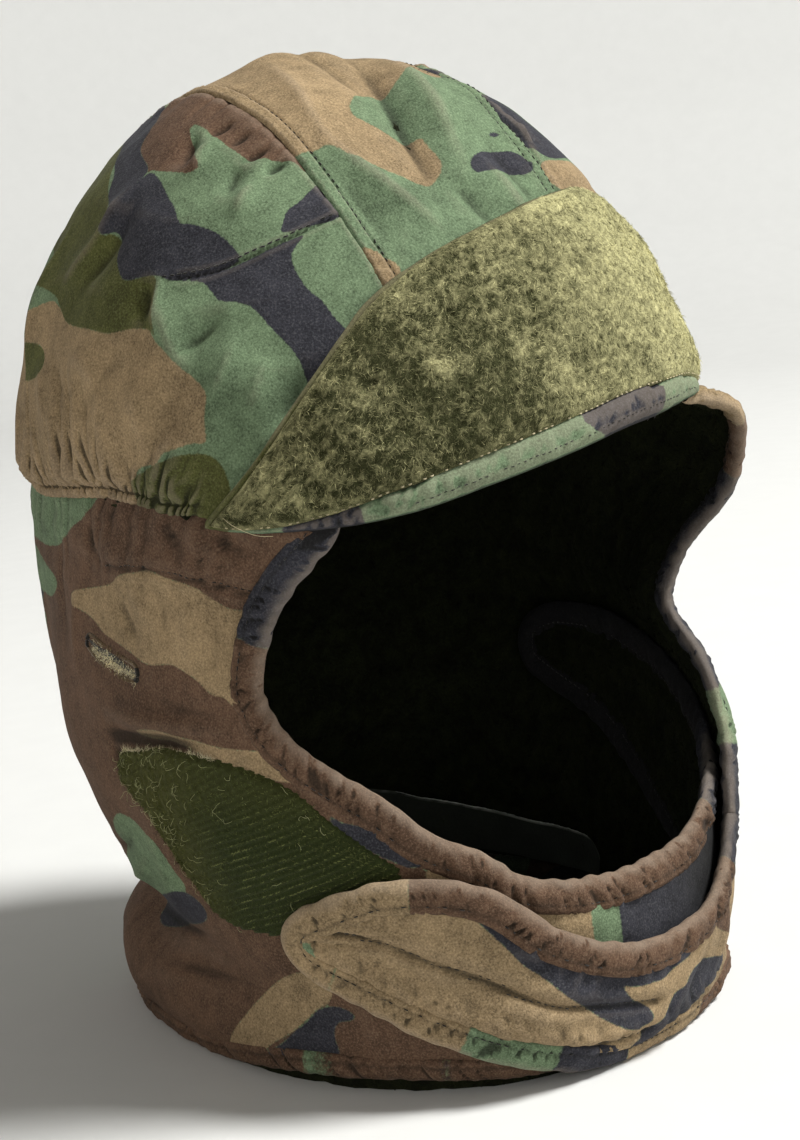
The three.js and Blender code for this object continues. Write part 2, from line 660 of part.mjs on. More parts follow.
// The whole cap, tipped onto its hem and moved so that its bounding box is centred over the origin.
const cap = new THREE.Group();
cap.name = 'helmet_liner_cap';
cap.add(
  crownCenter(),
  crownSide('crown_side_panel_right', -1),
  crownSide('crown_side_panel_left', 1),
  crownLining(),
  ...peak(),
  ...neckSide(true),
  ...neckSide(false),
  loopPatch(),
  neckLabel(),
  buttonhole(),
);
const hemFacing = new THREE.Vector3(
  HEM_PLANE.slope * Math.sin(rad(HEM_PLANE.towards)),
  -HEM_PLANE.slope * Math.cos(rad(HEM_PLANE.towards)),
  1,
).normalize();
const tip = new THREE.Quaternion().setFromUnitVectors(hemFacing, new THREE.Vector3(0, 0, 1));
cap.children.forEach((mesh) => mesh.geometry.applyQuaternion(tip));
const box = new THREE.Box3().setFromObject(cap);
const middle = box.getCenter(new THREE.Vector3());
cap.children.forEach((mesh) => mesh.geometry.translate(-middle.x, -middle.y, -box.min.z));

export default cap;
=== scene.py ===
"""Helmet liner cap: camouflage cloth lined with wool pile, a turned-up peak and two crossed chin flaps.

Shapes are drawn in millimetres round the upright axis of the head, then tipped onto the hem like the frame.
Angles round the head (theta) are in degrees from the front, positive to the wearer's left.
"""
import math

import bmesh
import bpy
import numpy as np
from mathutils import Matrix, Vector
from mathutils.kdtree import KDTree


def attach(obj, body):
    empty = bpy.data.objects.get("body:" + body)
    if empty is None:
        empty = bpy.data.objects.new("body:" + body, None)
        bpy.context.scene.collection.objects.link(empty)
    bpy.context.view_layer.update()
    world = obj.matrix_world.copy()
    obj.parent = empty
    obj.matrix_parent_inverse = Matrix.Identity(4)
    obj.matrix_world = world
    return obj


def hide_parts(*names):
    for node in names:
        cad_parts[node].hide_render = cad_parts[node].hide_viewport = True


bl_info = {
    "name": "Helmet Liner Cap",
    "version": (1, 0, 0),
    "blender": (4, 5, 0),
    "location": "View3D > Sidebar > Liner Cap",
    "description": "Pile-lined camouflage cap with a turned-up peak and crossed chin flaps",
    "category": "Object",
}

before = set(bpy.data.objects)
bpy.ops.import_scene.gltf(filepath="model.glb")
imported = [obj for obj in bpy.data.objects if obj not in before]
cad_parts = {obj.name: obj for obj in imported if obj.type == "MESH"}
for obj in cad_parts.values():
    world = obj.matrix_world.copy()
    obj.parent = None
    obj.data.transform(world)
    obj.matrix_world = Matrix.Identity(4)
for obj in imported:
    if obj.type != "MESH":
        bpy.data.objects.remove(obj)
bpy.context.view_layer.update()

MM = 0.001
# Millimetres in a degree round the head: on the neck and the peak's breadth, up the peak, round the gathers.
DEGREE_MM, PEAK_DEGREE_MM, GATHER_DEGREE_MM = 1.66, 1.64, 1.72
# Charts: millimetres in a degree along the centre panel, and the scale of the flattened dome.
CENTER_DEGREE_MM = 1.8
DOME_CHART = 196

# How the upright cap is tipped onto its hem, and the middle of its box.
TIP = (0.9983617513629603, 0.040458703732834056, -0.04045870373283406, 0.0)
MIDDLE = (-10.708450317382812, 0.621124267578125, -5.637575626373291)

# Axis of the head, the gathered line of the crown, and the squarish roundness of every section.
AXIS_Y = 4.0
CROWN_LINE = 168.0
CROWN_CENTRE = np.array([0, AXIS_Y, CROWN_LINE])
SQUARENESS = 2.28
HEM_HEIGHT, HEM_SLOPE, HEM_TOWARDS = -6.0, 0.115, 135.0

# Metres that cloth may sink into the floor, so that no light shows under it.
LOWEST = -0.0003

# Cloth, pile and tape, in millimetres.
HALF_CLOTH = 1.1
HEM_MARGIN = 6.3
FLAP_LAYER = 5.6
UNDER_FLAP_DEPTH = 7.3
NECK_TUCK = 2.7
SEAM_X = 34.0
SEAM_LAP = 1.8
LINING_DEPTH, LABEL_DEPTH = 4.1, 4.9
WALL_TOP, BACK_SEAM = 170, {"right": -180.9, "left": 180.2}
# Height where each flap leaves the wall, and theta at its root and tip.
FLAP_ROOT = {"right": 68, "left": 50}
FLAP_ENDS = {"right": (-26, 111), "left": (32, -52)}
FLAP_LENGTH = {"right": 228, "left": 140}
CROWN_HALF_WIDTH = {"right": 91.0, "left": 87.0}
PEAK_CLOTH_OUT, PEAK_HALF_ANGLE = 3.6, 59

# Neck wall: height, then the half widths and depths of its middle surface: right, left, front, back.
WALL_SECTIONS = [
    (-16, 82, 80, 94, 96), (0, 83, 81, 98, 97), (14, 86, 82, 103, 96), (30, 86, 81, 106, 94),
    (45, 87, 84, 105, 90), (58, 89, 88, 103, 88), (72, 93, 91, 101, 91), (90, 95.5, 92, 100, 99),
    (110, 94, 91.5, 97, 108), (130, 91, 91, 95, 116), (150, 88.5, 89, 95, 121), (168, 90.8, 87, 95.5, 120.6),
]
# Dents and swells of the neck wall: theta, height, spread round, spread up, push outward.
WALL_SWELLS = [
    (53, 153, 24, 15, 15), (56, 107, 26, 17, -10), (-124, 39, 36, 9, -10),
    (-118, 15, 40, 12, 3), (-80, 32, 24, 9, -3), (140, 60, 30, 16, -4),
]
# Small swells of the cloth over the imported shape.
# Wall: side, theta, height, spread round, spread up, push outward.
WALL_EASE = [
    ("right", -112, 4, 26, 9, 1.2), ("left", 60, 102, 24, 15, -4.5), ("left", 57, 137, 20, 9, 6.0),
    ("left", 57, 160, 18, 8, -3.0), ("left", 34, 12, 22, 14, -3.0), ("left", 50, 84, 17, 11, -3.2),
    ("right", -120, 31, 22, 6, -3.6),
]
# Crown: theta, elevation, spread, push outward.
CROWN_EASE = [
    (45, 64, 17, 2.0), (-105, 40, 16, -2.8), (55, 18, 11, -3.4), (-124, 6, 10, -2.8), (52, 42, 13, 2.8),
]
# Middle line of the crown: angle up from the front, distance from the head centre.
CROWN_PROFILE = [
    (0, 95.5), (20, 92), (40, 90.5), (60, 94), (80, 103), (100, 109), (120, 109), (140, 110),
    (160, 115), (180, 120.6),
]
# Face edge: height, theta where the tape starts.
FACE_EDGE = [
    (68, 26), (74, 32), (80, 36), (88, 40.5), (94, 45.5), (101, 51), (109, 55.5), (123, 59),
    (142, 56), (154, 51), (167, 43),
]
# Under flap and over flap: theta, bottom, top.
UNDER_FLAP = [
    (-26, 11, 68), (-20, 10.5, 58.5), (-14, 10, 54.5), (-9, 9.6, 52), (0, 9, 49.8), (12, 9, 49), (19, 10, 50),
    (31, 14, 56), (46, 24, 62), (55, 32, 67), (65, 40, 73), (80, 52, 80), (92, 60, 83), (104, 66, 82),
    (111, 71, 78),
]
OVER_FLAP = [
    (32, 2.8, 50), (26, 3.9, 40), (20, 5, 33), (12, 6.8, 30), (4, 8.4, 30), (-3, 9.6, 32), (-10, 12, 37),
    (-18, 18, 46), (-26, 25, 60), (-32, 31, 64), (-38, 37, 65), (-44, 43, 62), (-49, 47.5, 58),
    (-52, 50.5, 55.5),
]
# How far the hem is lifted off the floor at the right front: theta, millimetres.
HEM_RISE = [(-180, 0), (-84, 0), (-70, 2), (-59, 4), (-40, 4.5), (-28, 3), (-14, 1), (-4, 0), (180, 0)]
# How far the gathered edge rides up over the wearer's right ear: theta, millimetres.
BAND_LIFT = [
    (-180, 0), (-121, 0), (-113, 0.6), (-102, 3), (-92, 5), (-84, 6), (-77, 6), (-69, 4), (-60, 1.2),
    (-54, 0), (180, 0),
]
# Upper edge of the peak: theta, elevation from the head centre.
PEAK_EDGE = [
    (-59, 1.4), (-52, 8), (-43, 18.5), (-36, 26.5), (-30, 32.5), (-18, 38.5), (-6, 42), (6, 44), (18, 45),
    (30, 44.5), (36, 42), (43, 33), (51, 16), (59, 1.0),
]
# Front edge of the crown and the peak, in degrees above the gathered line; and the width of the peak's strip.
FRONT_RISE = [
    (-62, 0), (-52, -1.2), (-40, -1.0), (-30, -0.3), (-15, 1.9), (0, 3.6), (13, 4.7), (28, 4.6), (43, 2.6),
    (55, 0.8), (62, 0),
]
STRIP_WIDTH = [
    (-59, 0.8), (-49, 1.3), (-42, 2.6), (-35, 4.5), (-29, 6), (-15, 7), (0, 7.6), (13, 7.6), (28, 6.2),
    (43, 3.6), (55, 1.2), (59, 0.8),
]
# Loop patch and neck label: theta, bottom, top.
PATCH = [
    (-90, 90.5, 95), (-87.5, 88, 99.5), (-84, 84, 101), (-80, 78, 102.5), (-77, 68, 103.5), (-74.5, 59, 104),
    (-72, 53.5, 104), (-66, 51, 104), (-60, 51, 103), (-54.5, 54, 100), (-49.5, 57, 95.5), (-45, 60, 88.5),
    (-40, 64, 80), (-36, 67, 74.5),
]
LABEL = [
    (93, -4, 2), (95.5, -4.2, 7.5), (99, -4.6, 9), (104, -5, 9), (115, -5.5, 9), (127, -5, 11), (139, -3, 14),
    (151, 2, 19.5), (163, 8, 26),
]
BUTTONHOLE = {"theta": -90.5, "z": 124.5, "length": 31, "height": 6.6, "tilt": -9}

# Sewn lines of the over flap: theta, height.
FLAP_LINES = [
    [(-47, 57), (-42, 56), (-38, 53), (-34, 49), (-28, 43), (-22, 36), (-18, 31), (-12, 27), (-6, 23),
     (0, 20)],
    [(-54, 51), (-50, 48), (-46, 43), (-42, 39), (-38, 35.5), (-33, 31.5), (-27, 26), (-20, 20), (-14, 15.5),
     (-8, 13), (-1, 12)],
]
# Seam across the wearer's right side of the crown, on the flattened dome.
SIDE_SEAM = [(-28, 69), (-43, 73), (-54, 80), (-65, 90), (-72, 98)]
# Section of the folded tape, from one sewn edge to its fold and back: distance from the edge of the cloth,
# and distance from its middle.
TAPE_PROFILE = [
    (-1.6, 1.3), (-0.4, 1.95), (0.9, 1.8), (2.4, 2.1), (4.2, 2.2), (6.0, 2.0), (7.5, 1.4), (8.4, 0.6),
    (8.6, 0.0), (8.4, -0.6), (7.5, -1.4), (6.0, -2.0), (4.2, -2.2), (2.4, -2.0), (0.9, -1.5), (-0.4, -1.55),
    (-1.6, -1.2),
]
# Painted shade in the deep fold above the loop patch and inside the under flap: theta, height,
# spread round, spread up, change.
FOLD_AND_FLAP_SHADE = [
    (-90, 101.5, 3.5, 2.0, -0.8), (-84, 103.3, 6, 1.3, -0.6), (-75, 105.3, 6, 0.9, -0.4),
    (36, 50, 27, 40, -1.1),
]
# Lighter and darker places of the peak's wool: theta, elevation, spread round, spread up, change.
PILE_PATCHES = [
    (-46, 7, 9, 6, 0.2), (-34, 12, 8, 7, 0.02), (-16, 12, 10, 8, -0.14), (-24, 32, 7, 5, 0.1),
    (-21, 20, 2.0, 1.7, 0.5), (-30, 24, 6, 5, -0.06), (2, 9, 10, 4, 0.08),
]
# Threads that hang at both ends of the peak: theta, elevation, distance from the crown.
LOOSE_THREADS = [
    [(-55.5, 1.8, 6.4), (-54, 1.0, 7.8), (-52, 0.1, 8.2), (-50, -0.7, 8.0), (-48, -0.9, 7.0)],
    [(59, 1, 6), (61, -0.5, 9), (63, 0.5, 12), (64, 2.5, 13)],
    [(58, 0, 6), (60, -2.5, 9), (62, -3.5, 11), (63, -2.0, 14)],
]

# Dart above the wearer's right ear and its stitches, and the stitches of the back seam: theta, height.
DART = [(-93, 150), (-78, 153), (-66, 151.5), (-54, 148)]
DART_STITCHES = [(-91, 151), (-78, 154), (-66, 152.5), (-54, 149)]
BACK_STITCHES = [(-177.8, 164), (-177.8, 90), (-177.8, 6)]
# Dimple behind the loop patch, and the tip of the over flap: theta, height.
DIMPLE, FLAP_TIP = (-90.5, 96.5), (-47, 54)
# Theta where each of these starts and ends; the side panels are the same on both sides.
SIDE_ENDS, PATCH_ENDS, LABEL_ENDS = (20.6, 163.2), (-90, -36), (93, 163)
# Breadth and height of the peak, width of the drawn tape and of the tape on the hem, in millimetres.
PEAK_SIZE = (196, 74)
TAPE_WIDTH, HEM_TAPE_WIDTH = 8.6, 6.0
# Ribs of the loop patch: their tilt in degrees, and millimetres between the loops along a rib.
RIB_TILT, LOOP_PITCH = 25, 1.15

# Wear, painted highlight and shade, and small threads, in colours that the panel does not offer.
BARE_YARN, RUBBED_AND_HIGHLIT, SHADE_AND_GRIME, BARE_COTTON = "#a0a295", "#9e9081", "#191814", "#9ea097"
RIB_FUZZ, PULLED_LOOPS, LABEL_FRAY = "#464521", "#a5a678", "#bcbfb8"
BROWN_THREAD, CREAM_FRAY, PAPER = "#5b4a33", "#c6b98f", "#d1d1d0"

# How many strands, threads and stitches.
PEAK_STRANDS, LINING_STRANDS, PATCH_STRANDS, HOLE_STRANDS = 60000, 9000, 15000, 1100
PATCH_THREADS, PATCH_FRAYS, HOLE_STITCHES = 120, 420, 96

# Camera, as fitted to the photograph: degrees around, up and of roll, distance and target in upright
# millimetres, and the lens and sensor in its own millimetres.
CAMERA = {
    "around": -34.0, "up": 15.69, "roll": 7.05, "distance": 623.35, "target": (3.78, 0.0, 125.67),
    "lens": 65.15, "sensor": 36,
}
# Backdrop: radius and height in metres, and the number of its sides.
BACKDROP = [
    (1.0, 0.0), (2.4, 0.0), (2.75, 0.05), (3.05, 0.2), (3.25, 0.45), (3.33, 0.8), (3.35, 1.3), (3.35, 2.4),
]
BACKDROP_SIDES = 96
# Lights: place in the camera's own axes from the middle of the cap, size, watts and tint.
LIGHT_AIM = (0, 0, 0.14)
LIGHTS = [
    ("key_light", (2.0, 3.7, 1.05), 1.2, 305, (1.0, 1.0, 0.97)),
    ("left_light", (-1.6, 0.5, 0.6), 0.9, 2.2, (1.0, 0.82, 0.62)),
]

# Tint and strength of the light from all round.
AMBIENT_TINT, AMBIENT = (1.0, 0.99, 0.97, 1), 0.06

# Colours printed over the green, in their order.
PRINTS = ("olive", "brown", "tan", "black")
# Blots of chance: colour, size in millimetres, and the level that a hill has to pass.
CHANCE_BLOTS = (("brown", 82, 0.12), ("tan", 74, 0.38), ("green", 60, 0.62))
# Camouflage, drawn for each panel in its own flat coordinates: colour, then the corners of a blot.
# The side panels use millimetres on the flattened dome, the centre panel x and angle, the wall theta and z.
SIDE_RIGHT_BLOTS = [
    ("green", [(-260, -140), (30, -140), (84, 30), (62, 92), (50, 300), (-260, 300)]),
    ("brown", [(14, 156), (-8, 150), (-29, 147), (-43, 144), (-57, 139), (-68, 130), (-60, 121), (-53, 124),
        (-47, 121), (-41, 120), (-36, 118), (-33, 118), (-23, 121), (-10, 125), (-4, 125), (-6, 121),
        (-16, 113), (-24, 108), (-20, 105), (-15, 105), (-7, 104), (0, 104), (2, 97), (8, 88), (21, 96),
        (24, 109), (41, 128), (35, 136), (19, 141)]),
    ("black", [(80, 140), (60, 160), (38, 137), (19, 123), (17, 113), (11, 109), (-1, 104), (1, 97), (8, 88),
        (18, 93), (23, 104), (60, 118)]),
    ("olive", [(22, 96), (9, 89), (9, 79), (2, 82), (-4, 76), (-11, 67), (-17, 68), (-23, 70), (-26, 70),
        (-29, 63), (-33, 51), (-30, 54), (-24, 53), (-11, 51), (-1, 52), (10, 52), (22, 53), (29, 57),
        (35, 61), (60, 62), (100, 84), (70, 124), (34, 112)]),
    ("black", [(-1, 104), (-9, 101), (-16, 96), (-23, 92), (-27, 87), (-31, 88), (-37, 88), (-43, 87),
        (-49, 84), (-54, 80), (-43, 72), (-32, 69), (-28, 70), (-23, 70), (-17, 68), (-12, 67), (-7, 71),
        (-2, 76), (1, 83), (9, 79), (8, 88), (3, 96)]),
    ("tan", [(29, 57), (22, 53), (10, 52), (-1, 52), (-11, 51), (-19, 53), (-24, 54), (-30, 54), (-33, 50),
        (-36, 49), (-41, 45), (-46, 42), (-51, 39), (-53, 36), (-52, 31), (-53, 26), (-54, 23), (-49, 23),
        (-44, 21), (-39, 20), (-37, 16), (-32, 16), (-27, 14), (-26, 10), (-22, 5), (-20, -30), (120, -60),
        (140, 8), (110, 34), (76, 42), (51, 53), (37, 59)]),
    ("olive", [(60, 42), (41, 45), (32, 42), (32, 37), (38, 34), (53, 31), (61, 36)]),
    ("olive", [(-21, 9), (-30, 14), (-38, 17), (-47, 20), (-57, 20), (-62, 10), (-60, -6), (-44, -6),
        (-24, 0)]),
    ("black", [(-33, 69), (-43, 71), (-47, 68), (-51, 65), (-57, 66), (-63, 65), (-70, 59), (-76, 55),
        (-82, 49), (-84, 42), (-92, 38), (-98, 60), (-91, 65), (-87, 69), (-84, 72), (-79, 74), (-74, 79),
        (-70, 84), (-69, 88), (-72, 96), (-65, 90), (-54, 79), (-46, 74), (-39, 72)]),
    ("black", [(-62, 96), (-61, 103), (-64, 108), (-65, 114), (-67, 120), (-75, 117), (-82, 107), (-74, 101),
        (-66, 94), (-63, 93)]),
]
CENTER_BLOTS = [
    ("green", [(-90, -30), (90, -30), (90, 114), (-90, 114)]),
    ("tan", [(-40, 112), (-10, 118), (14, 108), (32, 100), (38, 90), (30, 80), (23, 78), (17, 80), (9, 77),
        (4, 76), (1, 77), (-4, 77), (-10, 74), (-12, 72), (-11, 70), (-7, 67), (-5, 66), (-2, 65), (4, 65),
        (3, 63), (3, 60), (2, 57), (-2, 55), (-6, 54), (-10, 55), (-13, 57), (-16, 58), (-19, 60), (-20, 62),
        (-22, 63), (-23, 65), (-25, 67), (-28, 67), (-31, 67), (-40, 69)]),
    ("tan", [(-40, 48), (-33, 46), (-30, 43), (-27, 40), (-32, 34), (-40, 30)]),
    ("black", [(9, 56), (13, 58), (19, 59), (26, 59), (29, 58), (32, 55), (27, 53), (23, 54), (14, 54),
        (9, 54)]),
    ("black", [(24, 63), (27, 63), (27, 62), (23, 62)]),
]
SIDE_LEFT_BLOTS = [
    ("green", [(-220, 30), (-60, 40), (-8, 110), (-20, 260), (-220, 260)]),
    ("black", [(-39, 141), (-40, 133), (-25, 121), (-38, 112), (-44, 100), (-39, 88), (-51, 93), (-69, 105),
        (-70, 115), (-64, 124), (-59, 133), (-51, 136)]),
    ("tan", [(-76, 112), (-64, 100), (-54, 93), (-46, 80), (-56, 70), (-68, 70), (-83, 84), (-88, 99),
        (-82, 108)]),
]
WALL_RIGHT_BLOTS = [
    ("brown", [(-130, -130), (90, -130), (90, 300), (-124, 300), (-133, 90)]),
    ("green", [(-160, 186), (-104, 186), (-86, 180), (-94, 166), (-106, 156), (-116, 148), (-140, 146),
        (-160, 160)]),
    ("green", [(-150, 146), (-119, 142), (-114, 138), (-122, 130), (-150, 128)]),
    ("tan", [(-106, 139), (-99, 142), (-93, 144), (-89, 146), (-85, 150), (-81, 151), (-76, 153), (-71, 151),
        (-66, 150), (-64, 148), (-61, 145), (-59, 144), (-56, 144), (-52, 144), (-53, 141), (-55, 135),
        (-56, 128), (-56, 120), (-58, 118), (-60, 119), (-61, 121), (-64, 121), (-66, 124), (-69, 126),
        (-72, 128), (-75, 127), (-79, 126), (-84, 128), (-90, 130), (-94, 131), (-97, 134), (-102, 135),
        (-105, 136)]),
    ("tan", [(-84, 106), (-80, 108), (-76, 109), (-72, 108), (-68, 108), (-64, 107), (-59, 107), (-54, 107),
        (-50, 105), (-46, 99), (-52, 99), (-56, 100), (-60, 102), (-65, 103), (-69, 105), (-74, 106),
        (-78, 105), (-82, 105)]),
    ("green", [(-98, 76), (-91, 77), (-86, 75), (-83, 71), (-82, 63), (-80, 58), (-83, 54), (-98, 45),
        (-110, 38), (-120, 34), (-110, 51), (-106, 62)]),
    ("black", [(-114, 31), (-110, 38), (-98, 46), (-90, 52), (-82, 57), (-76, 54), (-76, 49), (-88, 41),
        (-98, 34), (-104, 31), (-109, 29)]),
    ("tan", [(-58, 40), (-66, 28), (-76, 12), (-76, 5), (-72, 6), (-68, 10), (-64, 16), (-60, 20), (-56, 25),
        (-54, 29), (-50, 33), (-50, 42)]),
    ("black", [(-72, 5), (-68, 10), (-62, 16), (-58, 22), (-55, 26), (-53, 30), (-49, 32), (-46, 30),
        (-47, 28), (-50, 27), (-51, 22), (-50, 17), (-52, 13), (-56, 12), (-62, 9), (-70, 3)]),
    ("green", [(-74, 3), (-70, 5), (-64, 9), (-56, 12), (-56, 6), (-67, -2), (-76, -2)]),
    ("black", [(-46, 91), (-44, 88), (-41, 87), (-36, 81), (-32, 76), (-34, 73), (-38, 77), (-42, 82),
        (-45, 87)]),
    ("tan", [(-32, 75), (-29, 72), (-27, 66), (-31, 66), (-33, 70)]),
    ("tan", [(-22, 62), (-14, 52), (-9, 48), (-9, 40), (-16, 42), (-23, 52)]),
    ("tan", [(-17, 64), (-9, 64), (-6, 58), (-7, 40), (-10, 34), (-17, 38)]),
    ("green", [(-9, 46), (-8, 60), (-2, 64), (0, 48), (-3, 36), (-8, 36)]),
    # Black over the under flap is painted shade, where it lies deep in the cap.
    ("black", [(-3, -40), (90, -40), (140, 60), (90, 120), (2, 100), (-4, 56)]),
]
FLAP_BLOTS = [
    ("tan", [(-150, -100), (-150, 200), (-26, 160), (36, 100), (50, 30), (48, -100)]),
    ("black", [(-27, 60), (-24, 57), (-21, 53), (-16, 48), (-10, 42), (-4, 38), (1, 35), (4, 34), (8, 32),
        (8, 28), (5, 28), (1, 26), (-2, 27), (-5, 28), (-7, 31), (-5, 24), (-2, 20), (-1, 17), (-2, 15),
        (-5, 15), (-8, 19), (-11, 24), (-13, 28), (-16, 34), (-19, 41), (-21, 44), (-23, 50), (-26, 57)]),
    ("black", [(19, 17), (11, 23), (7, 23), (6, 20), (3, 20), (2, 16), (0, 14), (-3, 11), (-6, 9), (-4, 6),
        (0, 4), (3, 6), (7, 8), (15, 11), (21, 11), (26, 14)]),
    ("green", [(1, 36), (6, 34), (12, 35), (16, 35), (8, 32), (4, 33)]),
    ("brown", [(14, 38), (24, 44), (28, 30), (24, 20), (18, 26), (14, 32)]),
    ("green", [(-54, 52), (-51, 56), (-50, 49), (-52, 47)]),
    ("green", [(-30, 24), (-28, 20), (-23, 15), (-18, 10), (-15, 8), (-18, 4), (-25, 8), (-32, 16)]),
    ("black", [(-18, 9), (-15, 8), (-7, 4), (-8, 0), (-14, 0), (-18, 2), (-19, 6)]),
    ("green", [(30, 60), (34, 78), (40, 90), (52, 92), (50, 70), (42, 55)]),
]
PEAK_BLOTS = [
    ("green", None),
    ("olive", [(-90, -8), (-60, -4), (-50, 4), (-36, 18.5), (-18, 31), (10, 38), (60, 20), (90, 90),
        (-90, 90)]),
    ("black", [(-49, -20), (-36, -20), (-34, 6), (-47, 6)]),
    ("black", [(0, 8.4), (3, 5.6), (9, 2.6), (16, 2), (21, 7.4), (20, 13), (8, 13)]),
    ("black", [(44, -20), (70, -20), (70, 3), (47, 3)]),
]
TAPE_RIGHT_BLOTS = [
    ("brown", [(-190, 16), (60, -160), (160, 60), (160, 300), (-190, 300)]),
    ("black", [(-120, 122), (-58, 135), (-40, 146), (30, 160), (30, 260), (-120, 260)]),
    ("black", [(26, -20), (60, 0), (160, 40), (160, 130), (27, 130)]),
    ("green", [(-64, -40), (-44, -40), (-44, 15), (-64, 15)]),
    ("black", [(-44, -40), (-24, -40), (-26, 15), (-44, 15)]),
]
TAPE_LEFT_BLOTS = [
    ("brown", [(-200, -80), (34, -80), (60, 60), (170, 150), (170, 300), (-200, 300)]),
    ("tan", [(-40, 156), (60, 156), (150, 140), (150, 260), (-40, 260)]),
    ("black", [(22, 34), (60, 30), (120, 90), (110, 142), (30, 142), (28, 60)]),
    ("green", [(33, 66), (40, 72), (44, 86), (34, 84)]),
    ("tan", [(-60, 20), (-33, 24), (-34, 48), (-37, 80), (-60, 80)]),
    ("tan", [(-52, -12), (-27, -12), (-27, 34), (-52, 52)]),
    ("tan", [(-52, 8), (-27, -12), (-27, 26), (-34, 36), (-52, 52)]),
    ("green", [(-30, -60), (-30, 20), (-29, 40), (-23, 36), (-16, 31), (-15, 14), (-15, -60)]),
    ("black", [(-17, -60), (-17, 12), (-17, 29), (-11, 26), (-3, 21), (-3, 10), (-3, -60)]),
    ("tan", [(-5, -60), (-5, 10), (-5, 20), (4, 18), (13, 18), (14, 8), (14, -60)]),
]

# Creases and puckers of each panel: width, height (a valley is negative), then the line it follows.
SIDE_RIGHT_CREASES = [
    (4.5, 1.7, [(-1, 104), (5, 94), (9, 79), (20, 70), (35, 61)]),
    (5.0, -1.4, [(-9, 100), (-4, 90), (0, 78), (10, 66), (24, 58)]),
    (2.6, 1.3, [(-27, 74), (-28, 66), (-30, 58), (-33, 50)]),
    (4.0, -1.6, [(-22, 70), (-23, 62), (-26, 54)]),
    (5.0, 1.5, [(-27, 68), (-33, 58), (-39, 48), (-48, 40)]),
    (3.2, -1.5, [(-38, 47), (-43, 50), (-48, 55), (-54, 63)]),
    (6.0, 1.1, [(16, 42), (3, 43), (-8, 36), (-12, 22)]),
    (5.5, -1.1, [(-26, 47), (-13, 43), (-6, 34), (-2, 20)]),
    (5.0, -0.9, [(30, 46), (18, 36), (10, 24), (8, 12)]),
    (5.0, 0.9, [(40, 40), (29, 30), (22, 18)]),
    (6.0, 1.2, [(-24, 42), (-27, 30), (-33, 16)]),
    (6.5, -1.2, [(-36, 42), (-40, 30), (-45, 18)]),
    (5.5, -2.0, [(-80, 52), (-83, 44), (-78, 34), (-72, 24)]),
    (6.0, 1.6, [(-70, 52), (-70, 40), (-66, 28)]),
    (5.0, 1.4, [(-60, 60), (-58, 44), (-52, 30)]),
    (4.0, -1.8, [(-12, 124), (-10, 116), (-16, 106)]),
    (3.2, 1.2, [(-20, 122), (-18, 114), (-24, 104)]),
    (4.0, -1.6, [(-36, 118), (-36, 108), (-40, 98)]),
    (4.0, 1.3, [(-46, 112), (-44, 102), (-46, 92)]),
    (2.2, -1.5, [(-42, 128), (-38, 120), (-34, 114)]),
    (2.2, -1.4, [(-52, 124), (-48, 118), (-46, 112)]),
    (2.4, -1.4, [(-20, 134), (-18, 127), (-14, 120)]),
    (2.4, -1.3, [(-30, 132), (-28, 125), (-26, 118)]),
    (6.0, 1.6, [(40, 90), (48, 70), (52, 44), (46, 20)]),
    (6.0, -1.6, [(64, 96), (66, 66), (60, 34)]),
    (6.0, 1.5, [(84, 100), (84, 64), (74, 30)]),
]
CENTER_CREASES = [
    (6.0, -3.4, [(16, 100), (8, 84), (2, 72), (-2, 60), (-6, 51), (-9, 40)]),
    (5.5, 2.2, [(26, 96), (19, 86), (14, 74), (10, 62), (5, 50)]),
    (4.5, 2.0, [(-24, 74), (-22, 62), (-17, 54), (-12, 46), (-9, 40)]),
    (4.5, 1.8, [(-13, 96), (-20, 80), (-24, 70), (-22, 62)]),
    (5.0, -1.8, [(-3, 104), (-1, 87), (-1, 78), (-6, 68)]),
    (5.5, -1.6, [(-28, 66), (-27, 54), (-26, 40)]),
    (4.5, -1.8, [(0, 56), (4, 50), (6, 40)]),
    (6.0, -2.0, [(20, 66), (23, 54), (22, 42)]),
    (5.0, 1.6, [(15, 58), (16, 50), (16, 40)]),
    (11.0, 3.0, [(-24, 97), (-10, 95), (6, 92), (16, 90)]),
    (7.0, -1.6, [(-10, 128), (-12, 146), (-8, 168)]),
    (7.0, 1.6, [(12, 120), (10, 140), (14, 170)]),
]
SIDE_LEFT_CREASES = [
    (2.0, 1.5, [(-42, 129), (-53, 127), (-63, 118), (-69, 108)]),
    (3.0, -1.5, [(-38, 122), (-52, 118), (-62, 108)]),
    (4.0, -1.6, [(-60, 90), (-50, 70), (-44, 44)]),
    (5.0, 1.8, [(-40, 96), (-28, 66), (-26, 34)]),
    (5.0, -1.8, [(-20, 104), (-8, 70), (-10, 32)]),
    (6.0, 1.8, [(0, 110), (12, 74), (8, 34)]),
    (6.0, -1.6, [(24, 110), (34, 76), (28, 34)]),
    (6.0, 1.6, [(48, 104), (54, 70), (46, 32)]),
    (6.0, -1.5, [(74, 96), (76, 62), (66, 30)]),
]
